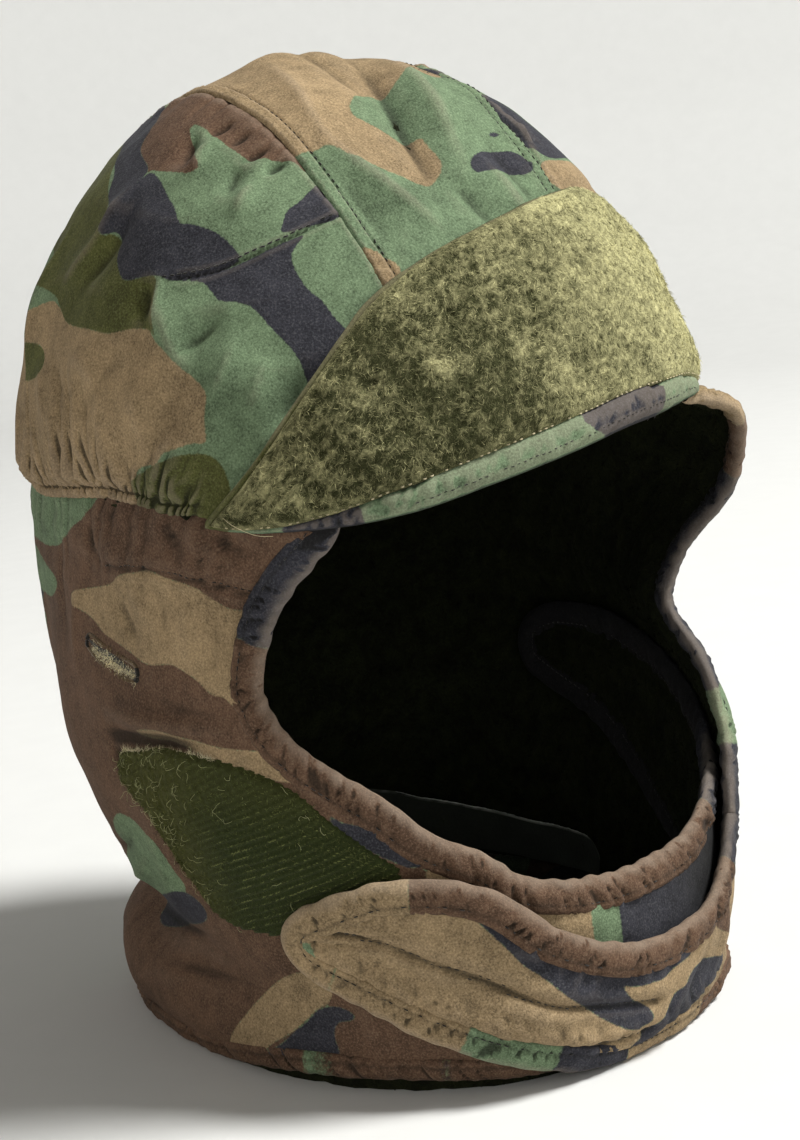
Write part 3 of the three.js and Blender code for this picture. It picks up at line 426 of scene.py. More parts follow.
WALL_RIGHT_CREASES = [
    (2.6, -1.1, [(-109, 24), (-95, 25), (-80, 28), (-69, 30), (-60, 31)]),
    (3.6, 1.0, [(-109, 31), (-95, 32), (-80, 34), (-68, 36)]),
    (3.2, -1.5, [(-96, 164), (-97, 157), (-92, 149)]),
    (3.4, 1.3, [(-90, 165), (-89, 158), (-86, 151)]),
    (2.6, -1.3, [(-72, 168), (-71, 163), (-68, 158)]),
    (3.0, 1.3, [(-68, 168), (-64, 161), (-57, 157)]),
    (3.0, -1.0, [(-62, 166), (-58, 160), (-52, 158)]),
    (2.6, -2.6, [(-96, 103), (-89, 103), (-81, 104.5), (-73, 106), (-64, 106)]),
    (3.2, 2.4, [(-97, 109), (-89, 109.5), (-80, 110), (-70, 110.5), (-60, 110)]),
    (3.0, -0.7, [(-56, 116), (-64, 115), (-74, 116), (-84, 120)]),
    (4.0, -1.4, [(-90, 146), (-87, 138), (-80, 129)]),
    (4.0, 1.0, [(-84, 150), (-81, 142), (-76, 133)]),
    (3.0, -0.9, [(-76, 150), (-74, 142), (-74, 132)]),
    (4.0, -0.9, [(-62, 144), (-63, 133), (-63, 122)]),
    (4.0, 0.9, [(-68, 148), (-69, 138), (-69, 124)]),
    (3.5, -2.4, [(-76, 46), (-85, 38), (-96, 34), (-110, 32), (-124, 33)]),
    (3.0, 1.4, [(-88, 70), (-94, 60), (-104, 50), (-116, 46)]),
    (3.4, -1.4, [(-92, 76), (-98, 64), (-110, 56), (-122, 52)]),
    (4.0, 1.2, [(-100, 150), (-106, 130), (-104, 112)]),
    (4.0, -1.2, [(-110, 160), (-114, 140), (-110, 120)]),
    (5.0, 1.4, [(-130, 160), (-134, 130), (-128, 96)]),
    (5.0, -1.6, [(-150, 160), (-152, 120), (-146, 80)]),
    (5.0, 1.5, [(-168, 156), (-166, 110), (-170, 60)]),
    (4.0, -1.6, [(-170, 36), (-156, 30), (-140, 34)]),
    (3.0, 1.0, [(-60, 60), (-40, 50), (-20, 34)]),
]
WALL_LEFT_CREASES = [
    (3.0, 1.4, [(1, 10), (6, 18), (9, 26)]),
    (3.2, -1.3, [(6, 8), (11, 16), (15, 27)]),
    (3.0, 1.3, [(16, 10), (20, 20), (24, 32)]),
    (3.0, -1.2, [(24, 10), (26, 22), (30, 36)]),
    (3.0, -1.0, [(-19, 46), (-16, 44), (-12, 40)]),
    (4.0, 0.9, [(-26, 52), (-20, 47), (-13, 40)]),
    (4.0, -0.9, [(-36, 46), (-28, 40), (-20, 31)]),
    (5.0, 0.9, [(-30, 38), (-22, 31), (-14, 24)]),
    (5.0, 1.6, [(44, 60), (52, 80), (62, 96)]),
    (5.0, -1.8, [(60, 120), (74, 112), (92, 112)]),
    (5.0, 1.8, [(50, 60), (70, 50), (96, 54)]),
    (5.0, -1.6, [(46, 44), (66, 36), (90, 38)]),
    (5.0, -1.6, [(86, 160), (90, 130), (84, 100)]),
    (5.0, 1.6, [(108, 160), (110, 124), (104, 90)]),
    (5.0, -1.6, [(130, 160), (132, 120), (124, 84)]),
    (5.0, 1.5, [(152, 158), (152, 116), (148, 70)]),
    (4.0, -1.8, [(100, 28), (126, 24), (150, 30)]),
    (4.0, 1.4, [(96, 40), (122, 36), (150, 42)]),
]


def hex_colour(text):
    """An sRGB hex value as linear red, green and blue."""
    values = [int(text[i:i + 2], 16) / 255 for i in (1, 3, 5)]
    return tuple(v / 12.92 if v <= 0.04045 else ((v + 0.055) / 1.055) ** 2.4 for v in values)


def colour_setting(name, text, description):
    return bpy.props.FloatVectorProperty(
        name=name, description=description, subtype="COLOR", size=3, min=0, max=1, default=hex_colour(text))


def size_setting(name, default, description, low=0.0, high=0.1):
    return bpy.props.FloatProperty(
        name=name, description=description, default=default, min=low, max=high,
        subtype="DISTANCE", unit="LENGTH", precision=4)


class LinerCapSizes(bpy.types.PropertyGroup):
    """Sizes of the cap's small details."""

    cell: size_setting("Cloth grid", 0.0014, "Spacing of the points of each cloth panel", 0.0008, 0.006)
    crumple: size_setting("Crumple", 0.00045, "Height of the soft unevenness of the cloth")
    gather: size_setting("Gather height", 0.0026, "Height of the ruffles above the elastic")
    wool: size_setting("Wool length", 0.0023, "Length of the strands of the peak's pile")
    lining_wool: size_setting("Lining wool length", 0.0028, "Length of the strands of the lining")
    stitch: size_setting("Stitch pitch", 0.0022, "Distance from one stitch to the next")
    tape_width: size_setting("Tape width", 0.0077, "Visible width of the tape round the face edge")
    rib: size_setting("Rib pitch", 0.0020, "Distance between the ribs of the loop patch")


class LinerCapColours(bpy.types.PropertyGroup):
    """Colours of the cap's cloth, wool and thread."""

    green: colour_setting("Green", "#607157", "Faded green of the camouflage")
    # Olive stands where the green looks yellower and darker: partly faded cloth, partly painted shade on the
    # side away from the key light.
    olive: colour_setting("Olive", "#4b4d2a", "Yellowed green of the camouflage")
    tan: colour_setting("Tan", "#857257", "Sand colour of the camouflage")
    brown: colour_setting("Brown", "#574335", "Brown of the camouflage")
    black: colour_setting("Navy black", "#313137", "Faded black of the camouflage")
    # Light and dark wool and lining are the ends of one tone: the dark end is painted shade deep in the pile,
    # between its clumps and on the side away from the key light.
    wool_light: colour_setting("Light wool", "#cfc996", "Tips of the peak's wool")
    wool_dark: colour_setting("Dark wool", "#2a2d17", "Depths of the peak's wool")
    lining_light: colour_setting("Light lining", "#2e321b", "Tips of the lining's wool")
    lining_dark: colour_setting("Dark lining", "#0b0c07", "Depths of the lining's wool")
    patch: colour_setting("Loop tape", "#293014", "Ribbed loop patch")
    patch_thread: colour_setting("Loop threads", "#858853", "Worn loops of the patch")
    label: colour_setting("Neck label", "#262a22", "Plain cloth inside the neck")
    thread_dark: colour_setting("Dark thread", "#1f1c18", "Stitches of the seams")
    thread_light: colour_setting("Light thread", "#b5a987", "Frayed and loose threads")


# Mathematics of the shapes.
def smooth(value, low, high):
    """0 below `low`, 1 above `high`, and a soft step between them."""
    t = np.clip((np.asarray(value, float) - low) / (high - low), 0, 1)
    return t * t * (3 - 2 * t)


def fall(value, low, high):
    """The way down from 1 to 0, where smooth() goes up."""
    return 1 - smooth(value, low, high)


def mix(a, b, t):
    return a + (b - a) * t


def bell(value, wide):
    """A soft bump round 0."""
    return np.exp(-(value / wide) ** 2)


def hill(u, v, wide, tall):
    """A soft round hill at 0, 0."""
    return np.exp(-(u / wide) ** 2 - (v / tall) ** 2)


def unit(vectors):
    return vectors / np.maximum(np.linalg.norm(vectors, axis=-1, keepdims=True), 1e-9)


def curve(rows, column=1):
    """A smooth curve through two columns of a table, without overshoot."""
    rows = sorted(rows)
    x = np.array([row[0] for row in rows], float)
    y = np.array([row[column] for row in rows], float)
    steps = np.diff(y) / np.diff(x)
    slopes = np.empty_like(x)
    slopes[0], slopes[-1] = steps[0], steps[-1]
    before, after = steps[:-1], steps[1:]
    total = np.where(before * after > 0, before + after, 1)
    slopes[1:-1] = np.where(before * after > 0, 2 * before * after / total, 0)

    def value(at):
        v = np.clip(np.asarray(at, float), x[0], x[-1])
        i = np.clip(np.searchsorted(x, v) - 1, 0, len(x) - 2)
        width = x[i + 1] - x[i]
        t = (v - x[i]) / width
        start = (2 * t + 1) * (1 - t) ** 2 * y[i] + t * (1 - t) ** 2 * width * slopes[i]
        end = t * t * (3 - 2 * t) * y[i + 1] + t * t * (t - 1) * width * slopes[i + 1]
        return start + end

    return value


wall_right, wall_left, wall_front, wall_back = [curve(WALL_SECTIONS, k) for k in (1, 2, 3, 4)]
crown_radius = curve(CROWN_PROFILE)
face_edge = curve(FACE_EDGE)
hem_rise = curve(HEM_RISE)
peak_edge = curve(PEAK_EDGE)
front_rise = curve(FRONT_RISE)
strip_width = curve(STRIP_WIDTH)
band_lift = curve(BAND_LIFT)
under_bottom, under_top = curve(UNDER_FLAP, 1), curve(UNDER_FLAP, 2)
over_bottom, over_top = curve(OVER_FLAP, 1), curve(OVER_FLAP, 2)
patch_bottom, patch_top = curve(PATCH, 1), curve(PATCH, 2)
label_bottom, label_top = curve(LABEL, 1), curve(LABEL, 2)


def tucked(theta, z):
    """How far the top of the wall is tucked behind the crown, 0 to 1."""
    return smooth(z, 154, 164) * smooth(np.abs(theta), 47, 57)


def wall_point(theta, z, out=0.0):
    theta, z = np.broadcast_arrays(np.asarray(theta, float), np.asarray(z, float))
    s, c = np.sin(np.radians(theta)), np.cos(np.radians(theta))
    across = np.where(s > 0, wall_left(z), wall_right(z))
    along = np.where(c > 0, wall_front(z), wall_back(z))
    free = 1 - np.maximum(tucked(theta, z), smooth(z, 157, 165.5))
    swell = sum(push * hill(theta - t0, z - z0, spread, tall)
                for t0, z0, spread, tall, push in WALL_SWELLS)
    r = (np.abs(c / along) ** SQUARENESS + np.abs(s / across) ** SQUARENESS) ** (-1 / SQUARENESS)
    r = r + free * swell + out
    return np.stack([r * s, AXIS_Y - r * c, z], -1)


def hem_plane(point):
    s, c = math.sin(math.radians(HEM_TOWARDS)), -math.cos(math.radians(HEM_TOWARDS))
    return HEM_HEIGHT - HEM_SLOPE * (s * point[..., 0] + c * (point[..., 1] - AXIS_Y))


def hem_height(theta):
    z = np.zeros_like(np.asarray(theta, float))
    for _ in range(4):
        z = hem_plane(wall_point(theta, z))
    return z + hem_rise(theta)


def crown_point(direction, out=0.0):
    d = unit(direction)
    middle = np.hypot(d[..., 1], d[..., 2])
    angle = np.degrees(np.arctan2(np.maximum(d[..., 2], 0), -d[..., 1]))
    half = np.where(d[..., 0] > 0, CROWN_HALF_WIDTH["left"], CROWN_HALF_WIDTH["right"])
    r = (middle / crown_radius(angle)) ** SQUARENESS + np.abs(d[..., 0] / half) ** SQUARENESS
    r = r ** (-1 / SQUARENESS) + out
    for theta, elevation, spread, push in CROWN_EASE:
        apart = np.degrees(np.arccos(np.clip(d @ head_direction(theta, elevation), -1, 1)))
        r = r + push * bell(apart, spread)
    return CROWN_CENTRE + d * r[..., None]


def head_direction(theta, elevation):
    theta, elevation = np.broadcast_arrays(np.radians(theta), np.radians(elevation))
    flat = np.cos(elevation)
    return np.stack([np.sin(theta) * flat, -np.cos(theta) * flat, np.sin(elevation)], -1)


def seam_direction(x, angle):
    x, angle = np.broadcast_arrays(np.asarray(x, float), np.asarray(angle, float))
    half = np.where(x > 0, CROWN_HALF_WIDTH["left"], CROWN_HALF_WIDTH["right"])
    r = crown_radius(np.clip(angle, 0, 180)) * (1 - np.abs(x / half) ** SQUARENESS) ** (1 / SQUARENESS)
    return np.stack([x, -np.cos(np.radians(angle)) * r, np.sin(np.radians(angle)) * r], -1)


def flattened_dome(points):
    """Flat coordinates of a side panel of the crown, in millimetres."""
    d = unit(points - CROWN_CENTRE)
    scale = DOME_CHART / (1 + np.abs(d[..., 0]))
    return d[..., 1] * scale, d[..., 2] * scale


def flap_layer(theta, right):
    """Distance of each side's wall from the middle surface, where the flaps cross."""
    over = FLAP_LAYER * fall(theta, -26, 26)
    under = over - FLAP_LAYER - (UNDER_FLAP_DEPTH - FLAP_LAYER) * smooth(theta, 24, 44)
    return under if right else over


def temple_lift(theta):
    """How far the flared top of the wearer's left temple stands above the gathered line, in millimetres."""
    return 10.5 * smooth(theta, 26, 44) * fall(theta, 60, 86)


def wall_surface(theta, z, right, out=0.0):
    theta, z = np.broadcast_arrays(np.asarray(theta, float), np.asarray(z, float))
    out = flap_layer(theta, right) - NECK_TUCK * tucked(theta, z) + out
    for side, around, height, spread, tall, push in WALL_EASE:
        if (side == "right") == right:
            out = out + push * hill(theta - around, z - height, spread, tall)
    if right:
        # The raised top edge stays well behind the casing.
        out = out - 2.4 * smooth(z, 164.5, 169)
    points = wall_point(theta, z, out)
    if not right:
        points[..., 2] += temple_lift(theta) * smooth(z, 126, 160)
    return points


def wall_spot(theta, z, right):
    """Points of the wall's middle surface, and the way it faces there."""
    around = wall_surface(theta + 1.5, z, right) - wall_surface(theta - 1.5, z, right)
    upward = wall_surface(theta, z + 2, right) - wall_surface(theta, z - 2, right)
    return wall_surface(theta, z, right), unit(np.cross(around, upward))


def waves(points, size, seed, count=22):
    """Smooth random hills about `size` millimetres across, mostly from -1 to 1."""
    rng = np.random.default_rng(seed)
    way = rng.normal(size=(count, 3))
    way *= (2 * np.pi / size * rng.uniform(0.6, 1.4, count) / np.linalg.norm(way, axis=1))[:, None]
    phase = rng.uniform(0, 2 * np.pi, count)
    return np.sin(points @ way.T + phase).sum(-1) / math.sqrt(count * 2)


def rounded(corners, rounds=2, closed=True):
    """A line of corners with each corner cut off, twice over."""
    line = np.asarray(corners, float)
    for _ in range(rounds):
        nxt = np.roll(line, -1, axis=0) if closed else line[1:]
        here = line if closed else line[:-1]
        cut = np.stack([mix(here, nxt, 0.25), mix(here, nxt, 0.75)], 1).reshape(-1, line.shape[1])
        line = cut if closed else np.vstack([line[:1], cut, line[-1:]])
    return line


def line_distance(u, v, line, closed=False):
    """Distance of every point from a line, and how far along the line its nearest point is."""
    ends = np.roll(line, -1, axis=0) if closed else line[1:]
    starts = line if closed else line[:-1]
    best = np.full(u.shape, 1e9)
    along = np.zeros(u.shape)
    walked = 0.0
    for (px, py), (qx, qy) in zip(starts, ends):
        dx, dy = qx - px, qy - py
        length = math.hypot(dx, dy)
        if length < 1e-9:
            continue
        t = np.clip(((u - px) * dx + (v - py) * dy) / length ** 2, 0, 1)
        d = np.hypot(u - px - t * dx, v - py - t * dy)
        near = d < best
        best = np.where(near, d, best)
        along = np.where(near, walked + t * length, along)
        walked += length
    return best, along / max(walked, 1e-9)


def inside_distance(u, v, corners):
    """Distance inside a blot, negative outside it."""
    line = rounded(corners)
    near = ((u > line[:, 0].min() - 9) & (u < line[:, 0].max() + 9)
            & (v > line[:, 1].min() - 9) & (v < line[:, 1].max() + 9))
    result = np.full(u.shape, -9.0)
    if not near.any():
        return result
    pu, pv = u[near], v[near]
    distance, _ = line_distance(pu, pv, line, closed=True)
    inside = np.zeros(pu.shape, bool)
    for (px, py), (qx, qy) in zip(line, np.roll(line, -1, axis=0)):
        if py != qy:
            crossing = (py > pv) != (qy > pv)
            inside ^= crossing & (pu < (qx - px) * (pv - py) / (qy - py) + px)
    result[near] = np.where(inside, distance, -distance)
    return result


def paint(prints, colour, distance):
    """Lay one blot over what is printed already."""
    for other in PRINTS:
        prints[other] = np.minimum(prints[other], -distance)
    if colour in prints:
        prints[colour] = np.maximum(prints[colour], distance)


def camouflage(points, u, v, blots, seed, stretch=(1, 1)):
    """Distance inside each printed colour: blots of chance everywhere, and the drawn ones over them."""
    prints = {name: np.full(u.shape, -9.0) for name in PRINTS}
    tall = points * np.array([1, 1, 1.5])
    for k, (colour, size, level) in enumerate(CHANCE_BLOTS):
        hills = waves(tall, size, seed + 7 * k) + 0.4 * waves(tall, size / 3, seed + 7 * k + 1)
        paint(prints, colour, (hills - level) * size / 5)
    hills = waves(tall, 88, seed + 40) + 0.3 * waves(tall, 26, seed + 41)
    paint(prints, "black", (0.17 - np.abs(hills - 0.25)) * 16)
    for colour, corners in blots:
        if corners is None:
            paint(prints, colour, np.full(u.shape, 9.0))
            continue
        scaled = [(a * stretch[0], b * stretch[1]) for a, b in corners]
        paint(prints, colour, inside_distance(u, v, scaled))
    return prints


def creases(u, v, table, stretch=(1, 1)):
    height = np.zeros(u.shape)
    for width, rise, line in table:
        drawn = rounded([(a * stretch[0], b * stretch[1]) for a, b in line], closed=False)
        distance, along = line_distance(u, v, drawn)
        taper = smooth(along, 0, 0.45) * fall(along, 0.55, 1)
        # A fold is round near its line and runs out slowly on both sides.
        core = 0.3 + 0.16 * width
        height += rise * np.exp(-(np.hypot(distance, core) - core) / (0.75 * width)) * taper
    return height


def ruffle(s, period, seed, wander=0.3):
    """Round folds side by side with sharp valleys between them, 0 to 1, unevenly spaced."""
    rng = np.random.default_rng(seed)
    shift = 0
    for k in (2.7, 4.3, 7.1):
        size = rng.uniform(0.4, 1) * wander * period
        shift = shift + size * np.sin(2 * np.pi * s / (period * k) + rng.uniform(0, 6))
    return np.abs(np.sin(np.pi * (s + shift) / period)) ** 0.75


# Making pieces.
def settle_frame():
    """The turn that puts the upright cap on its hem."""
    w, x, y, z = TIP
    return np.array([
        [1 - 2 * (y * y + z * z), 2 * (x * y - z * w), 2 * (x * z + y * w)],
        [2 * (x * y + z * w), 1 - 2 * (x * x + z * z), 2 * (y * z - x * w)],
        [2 * (x * z - y * w), 2 * (y * z + x * w), 1 - 2 * (x * x + y * y)],
    ])


TURN = settle_frame()


def to_frame(points):
    """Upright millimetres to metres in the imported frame."""
    return (np.asarray(points, float) @ TURN.T - np.array(MIDDLE)) * MM


def make_piece(name, points, faces, material, slot, nodes=(), values=None):
    """A mesh piece that rides on the body, with its own numbers at its points."""
    mesh = bpy.data.meshes.new(name)
    placed = to_frame(np.reshape(points, (-1, 3)))
    placed[:, 2] = np.maximum(placed[:, 2], LOWEST)
    mesh.from_pydata(placed.tolist(), [], faces if isinstance(faces, list) else faces.tolist())
    for key, numbers in (values or {}).items():
        numbers = np.ravel(numbers).astype("f")
        mesh.attributes.new(key, "FLOAT", "POINT").data.foreach_set("value", numbers)
    mesh.validate()
    mesh.shade_smooth()
    mesh.materials.append(material)
    piece = bpy.data.objects.new(name, mesh)
    bpy.context.scene.collection.objects.link(piece)
    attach(piece, "root")
    if nodes:
        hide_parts(*nodes)
    return piece


def grid_normals(points):
    """Facings of a grid of points, away from the head."""
    around, upward = np.gradient(points, axis=0), np.gradient(points, axis=1)
    normal = unit(np.cross(around, upward))
    centre = np.array([0, AXIS_Y + 8, np.clip(points[..., 2].mean(), 40, CROWN_LINE)])
    return normal if (normal * (points - centre)).sum() > 0 else -normal


class Sheet:
    """A grid of points in millimetres with the way each one faces, and its place on the panel's chart."""

    def __init__(self, points, normals, u, v, present=None):
        self.points, self.normals, self.u, self.v = points, normals, u, v
        columns, rows = points.shape[:2]
        self.present = np.ones((columns - 1, rows - 1), bool) if present is None else present
        self.tree = None

    def raised(self, height):
        points = self.points + self.normals * np.asarray(height)[..., None]
        return Sheet(points, grid_normals_like(points, self.normals), self.u, self.v, self.present)

    def faces(self):
        columns, rows = self.points.shape[:2]
        number = np.arange(columns * rows).reshape(columns, rows)
        cells = np.stack([number[:-1, :-1], number[1:, :-1], number[1:, 1:], number[:-1, 1:]], -1)
        cells = cells[self.present]
        p = self.points.reshape(-1, 3)
        a, b, d = p[cells[:, 0]], p[cells[:, 1]], p[cells[:, 3]]
        facing = self.normals.reshape(-1, 3)[cells[:, 0]]
        turned = (np.cross(b - a, d - a) * facing).sum() < 0
        return cells[:, ::-1] if turned else cells

    def nearest(self, points):
        """The sheet's surface under each point, and the way it faces there."""
        flat, normals = self.points.reshape(-1, 3), self.normals.reshape(-1, 3)
        if self.tree is None:
            self.tree = KDTree(len(flat))
            for i, p in enumerate(flat):
                self.tree.insert(p, i)
            self.tree.balance()
        index = np.array([self.tree.find(p)[1] for p in points])
        n = normals[index]
        drop = ((flat[index] - points) * n).sum(-1, keepdims=True)
        return points + n * drop, n

    def scattered(self, count, rng, weight=None):
        """Points scattered evenly over the sheet: places, facings and grid positions."""
        p = self.points
        a, b, d = p[:-1, :-1], p[1:, :-1], p[:-1, 1:]
        area = np.linalg.norm(np.cross(b - a, d - a), axis=-1) * self.present
        if weight is not None:
            area = area * weight[:-1, :-1]
        cell = rng.choice(area.size, count, p=area.ravel() / area.sum())
        i, j = np.unravel_index(cell, area.shape)
        s, t = rng.random(count)[:, None], rng.random(count)[:, None]
        place = mix(mix(p[i, j], p[i + 1, j], s), mix(p[i, j + 1], p[i + 1, j + 1], s), t)
        return place, self.normals[i, j], (i, j)


def grid_normals_like(points, normals):
    fresh = grid_normals(points)
    return np.where((fresh * normals).sum(-1, keepdims=True) < 0, -fresh, fresh)


def worn(height, rows=2):
    """Ridges above and valleys below the cloth around them: rubbed pale with a painted highlight on ridges,
    painted shade with some grime in valleys.
    """
    soft = height.copy()
    for axis in (0, 1):
        padded = np.concatenate([np.repeat(np.take(soft, [0], axis), rows, axis), soft,
                                 np.repeat(np.take(soft, [-1], axis), rows, axis)], axis)
        total = np.cumsum(padded, axis)
        count = 2 * rows + 1
        zero = np.zeros_like(np.take(total, [0], axis))
        total = np.concatenate([zero, total], axis)
        upper = np.take(total, np.arange(count, total.shape[axis]), axis)
        lower = np.take(total, np.arange(0, total.shape[axis] - count), axis)
        soft = (upper - lower) / count
    return height - soft


def ribbon_strands(places, normals, lengths, width, lean, spread, rng, flow, curl=0.5):
    """Curved, pointed ribbons of wool: points, triangles and the height of each point on its strand."""
    count = len(places)
    loose = rng.normal(size=(count, 3))
    way = flow + loose * spread
    way = unit(way - normals * (way * normals).sum(-1, keepdims=True))
    side = np.cross(normals, way)
    turn = rng.uniform(-1, 1, (count, 1)) * curl
    up = unit(normals * (1 - lean) + way * lean)
    reach = lengths[:, None]
    root = places - normals * 0.25
    bend = root + up * reach * 0.5
    end = bend + (up * 0.55 + way * 0.5 + side * turn - normals * 0.22) * reach * 0.55
    twist = rng.uniform(-1, 1, (count, 1))
    broad = side * np.sqrt(1 - 0.6 * twist ** 2) + normals * twist * 0.7
    half = broad * width / 2
    points = np.stack([root - half, root + half, bend - half * 0.8, bend + half * 0.8, end], 1).reshape(-1, 3)
    base = (np.arange(count) * 5)[:, None]
    faces = np.concatenate([base + [0, 1, 3], base + [0, 3, 2], base + [2, 3, 4]])
    height = np.tile([0.0, 0.0, 0.55, 0.55, 1.0], count)
    return points, faces, height


def stitches(places, normals, ways, length, width, height):
    """Short rounded stitches that dip into the cloth at both ends."""
    side = np.cross(normals, ways)
    rings = [(-0.34, 0.8), (0.0, 1.0), (0.34, 0.8)]
    points = [places - ways * length * 0.52 - normals * height * 0.4]
    for shift, full in rings:
        centre = places + ways * length * shift
        for across, up in ((-0.5, 0.15), (0, 1.0), (0.5, 0.15), (0, -0.4)):
            points.append(centre + side * width * across * full + normals * height * up * full)
    points.append(places + ways * length * 0.52 - normals * height * 0.4)
    faces = []
    for k in range(4):
        m = (k + 1) % 4
        faces.append([0, 1 + m, 1 + k])
        faces.append([13, 9 + k, 9 + m])
        for ring in (1, 5):
            faces.append([ring + k, ring + m, ring + 4 + m])
            faces.append([ring + k, ring + 4 + m, ring + 4 + k])
    count = len(places)
    base = (np.arange(count) * 14)[:, None, None]
    return np.stack(points, 1).reshape(-1, 3), (base + np.array(faces)[None]).reshape(-1, 3)


def even_steps(line, pitch):
    """Points every `pitch` millimetres along a line, with the way it runs."""
    lengths = np.linalg.norm(np.diff(line, axis=0), axis=1)
    walked = np.concatenate([[0], np.cumsum(lengths)])
    at = np.arange(pitch / 2, walked[-1], pitch)
    places = np.stack([np.interp(at, walked, line[:, k]) for k in range(3)], 1)
    ahead = np.stack([np.interp(at + pitch / 4, walked, line[:, k]) for k in range(3)], 1)
    way = ahead - places
    way[-1] = way[-2] if len(way) > 1 else way[-1]
    return places, unit(way)


def joined(bodies):
    """Points and faces of several small bodies as one."""
    points, faces, count = [], [], 0
    for body, body_faces in bodies:
        points.append(body)
        faces += [[int(k) + count for k in face] for face in body_faces]
        count += len(body)
    return np.vstack(points), faces


def seam_row(name, lines, sheet, material, pitch, size=(0.72, 0.5, 0.42), seed=3, skip=0.02):
    """Rows of stitches laid on a sheet."""
    rng = np.random.default_rng(seed)
    rows = []
    for line in lines:
        places, ways = even_steps(np.asarray(line, float), pitch)
        kept = rng.random(len(places)) > skip
        places, ways = places[kept], ways[kept]
        places, normals = sheet.nearest(places)
        ways = unit(ways - normals * (ways * normals).sum(-1, keepdims=True))
        ways = ways + np.cross(normals, ways) * rng.normal(0, 0.08, (len(ways), 1))
        rows.append(stitches(places, normals, ways, pitch * size[0], size[1], size[2]))
    make_piece(name, *joined(rows), material, "thread")


def thread_tube(line, radius, sides=5):
    """A thin round thread along a line of points."""
    line = rounded(line, 3, closed=False)
    way = unit(np.gradient(line, axis=0))
    first = unit(np.cross(way, [0.3, 0.2, 0.93]))
    second = np.cross(way, first)
    turns = 2 * np.pi * np.arange(sides) / sides
    count = len(line)
    from_end = np.minimum(np.arange(count), np.arange(count)[::-1]) / count
    size = radius * np.minimum(1, 0.4 + 3 * from_end)
    ring = (first[:, None] * np.cos(turns)[None, :, None] + second[:, None] * np.sin(turns)[None, :, None])
    points = (line[:, None] + ring * size[:, None, None]).reshape(-1, 3)
    faces = []
    for start in range(0, (count - 1) * sides, sides):
        for k in range(sides):
            m = (k + 1) % sides
            faces.append([start + k, start + m, start + sides + m, start + sides + k])
    faces.append(list(range(sides))[::-1])
    faces.append([(count - 1) * sides + k for k in range(sides)])
    return points, faces


# Materials.
def add(tree, kind, settings=None, out=0, **links):
    """A shader node with its settings and what is linked into it; gives back one of its outputs."""
    node = tree.nodes.new("ShaderNode" + kind)
    for key, value in (settings or {}).items():
        if isinstance(key, int) or key in node.inputs:
            node.inputs[key].default_value = value
        else:
            setattr(node, key, value)
    for key, source in links.items():
        socket = node.inputs[int(key[1:])] if key.startswith("_") else node.inputs[key.replace("_", " ")]
        tree.links.new(source, socket)
    return node.outputs[out] if node.outputs else None


def new_material(name):
    """An empty material, its nodes, and the place on the piece that its patterns follow."""
    material = bpy.data.materials.new(name)
    material.use_nodes = True
    tree = material.node_tree
    tree.nodes.clear()
    return material, tree, add(tree, "TexCoord", out="Object")


def finish_material(tree, colour, bump, roughness, sheen=0.2, specular=0.25, sheen_tint=(1, 1, 1)):
    settings = {
        "Roughness": roughness, "Specular IOR Level": specular, "Sheen Weight": sheen,
        "Sheen Roughness": 0.5, "Sheen Tint": (*sheen_tint, 1), "IOR": 1.5,
    }
    shader = add(tree, "BsdfPrincipled", settings, Base_Color=colour, Normal=bump)
    add(tree, "OutputMaterial", Surface=shader)


def rgba(colour):
    return (*(hex_colour(colour) if isinstance(colour, str) else colour), 1)


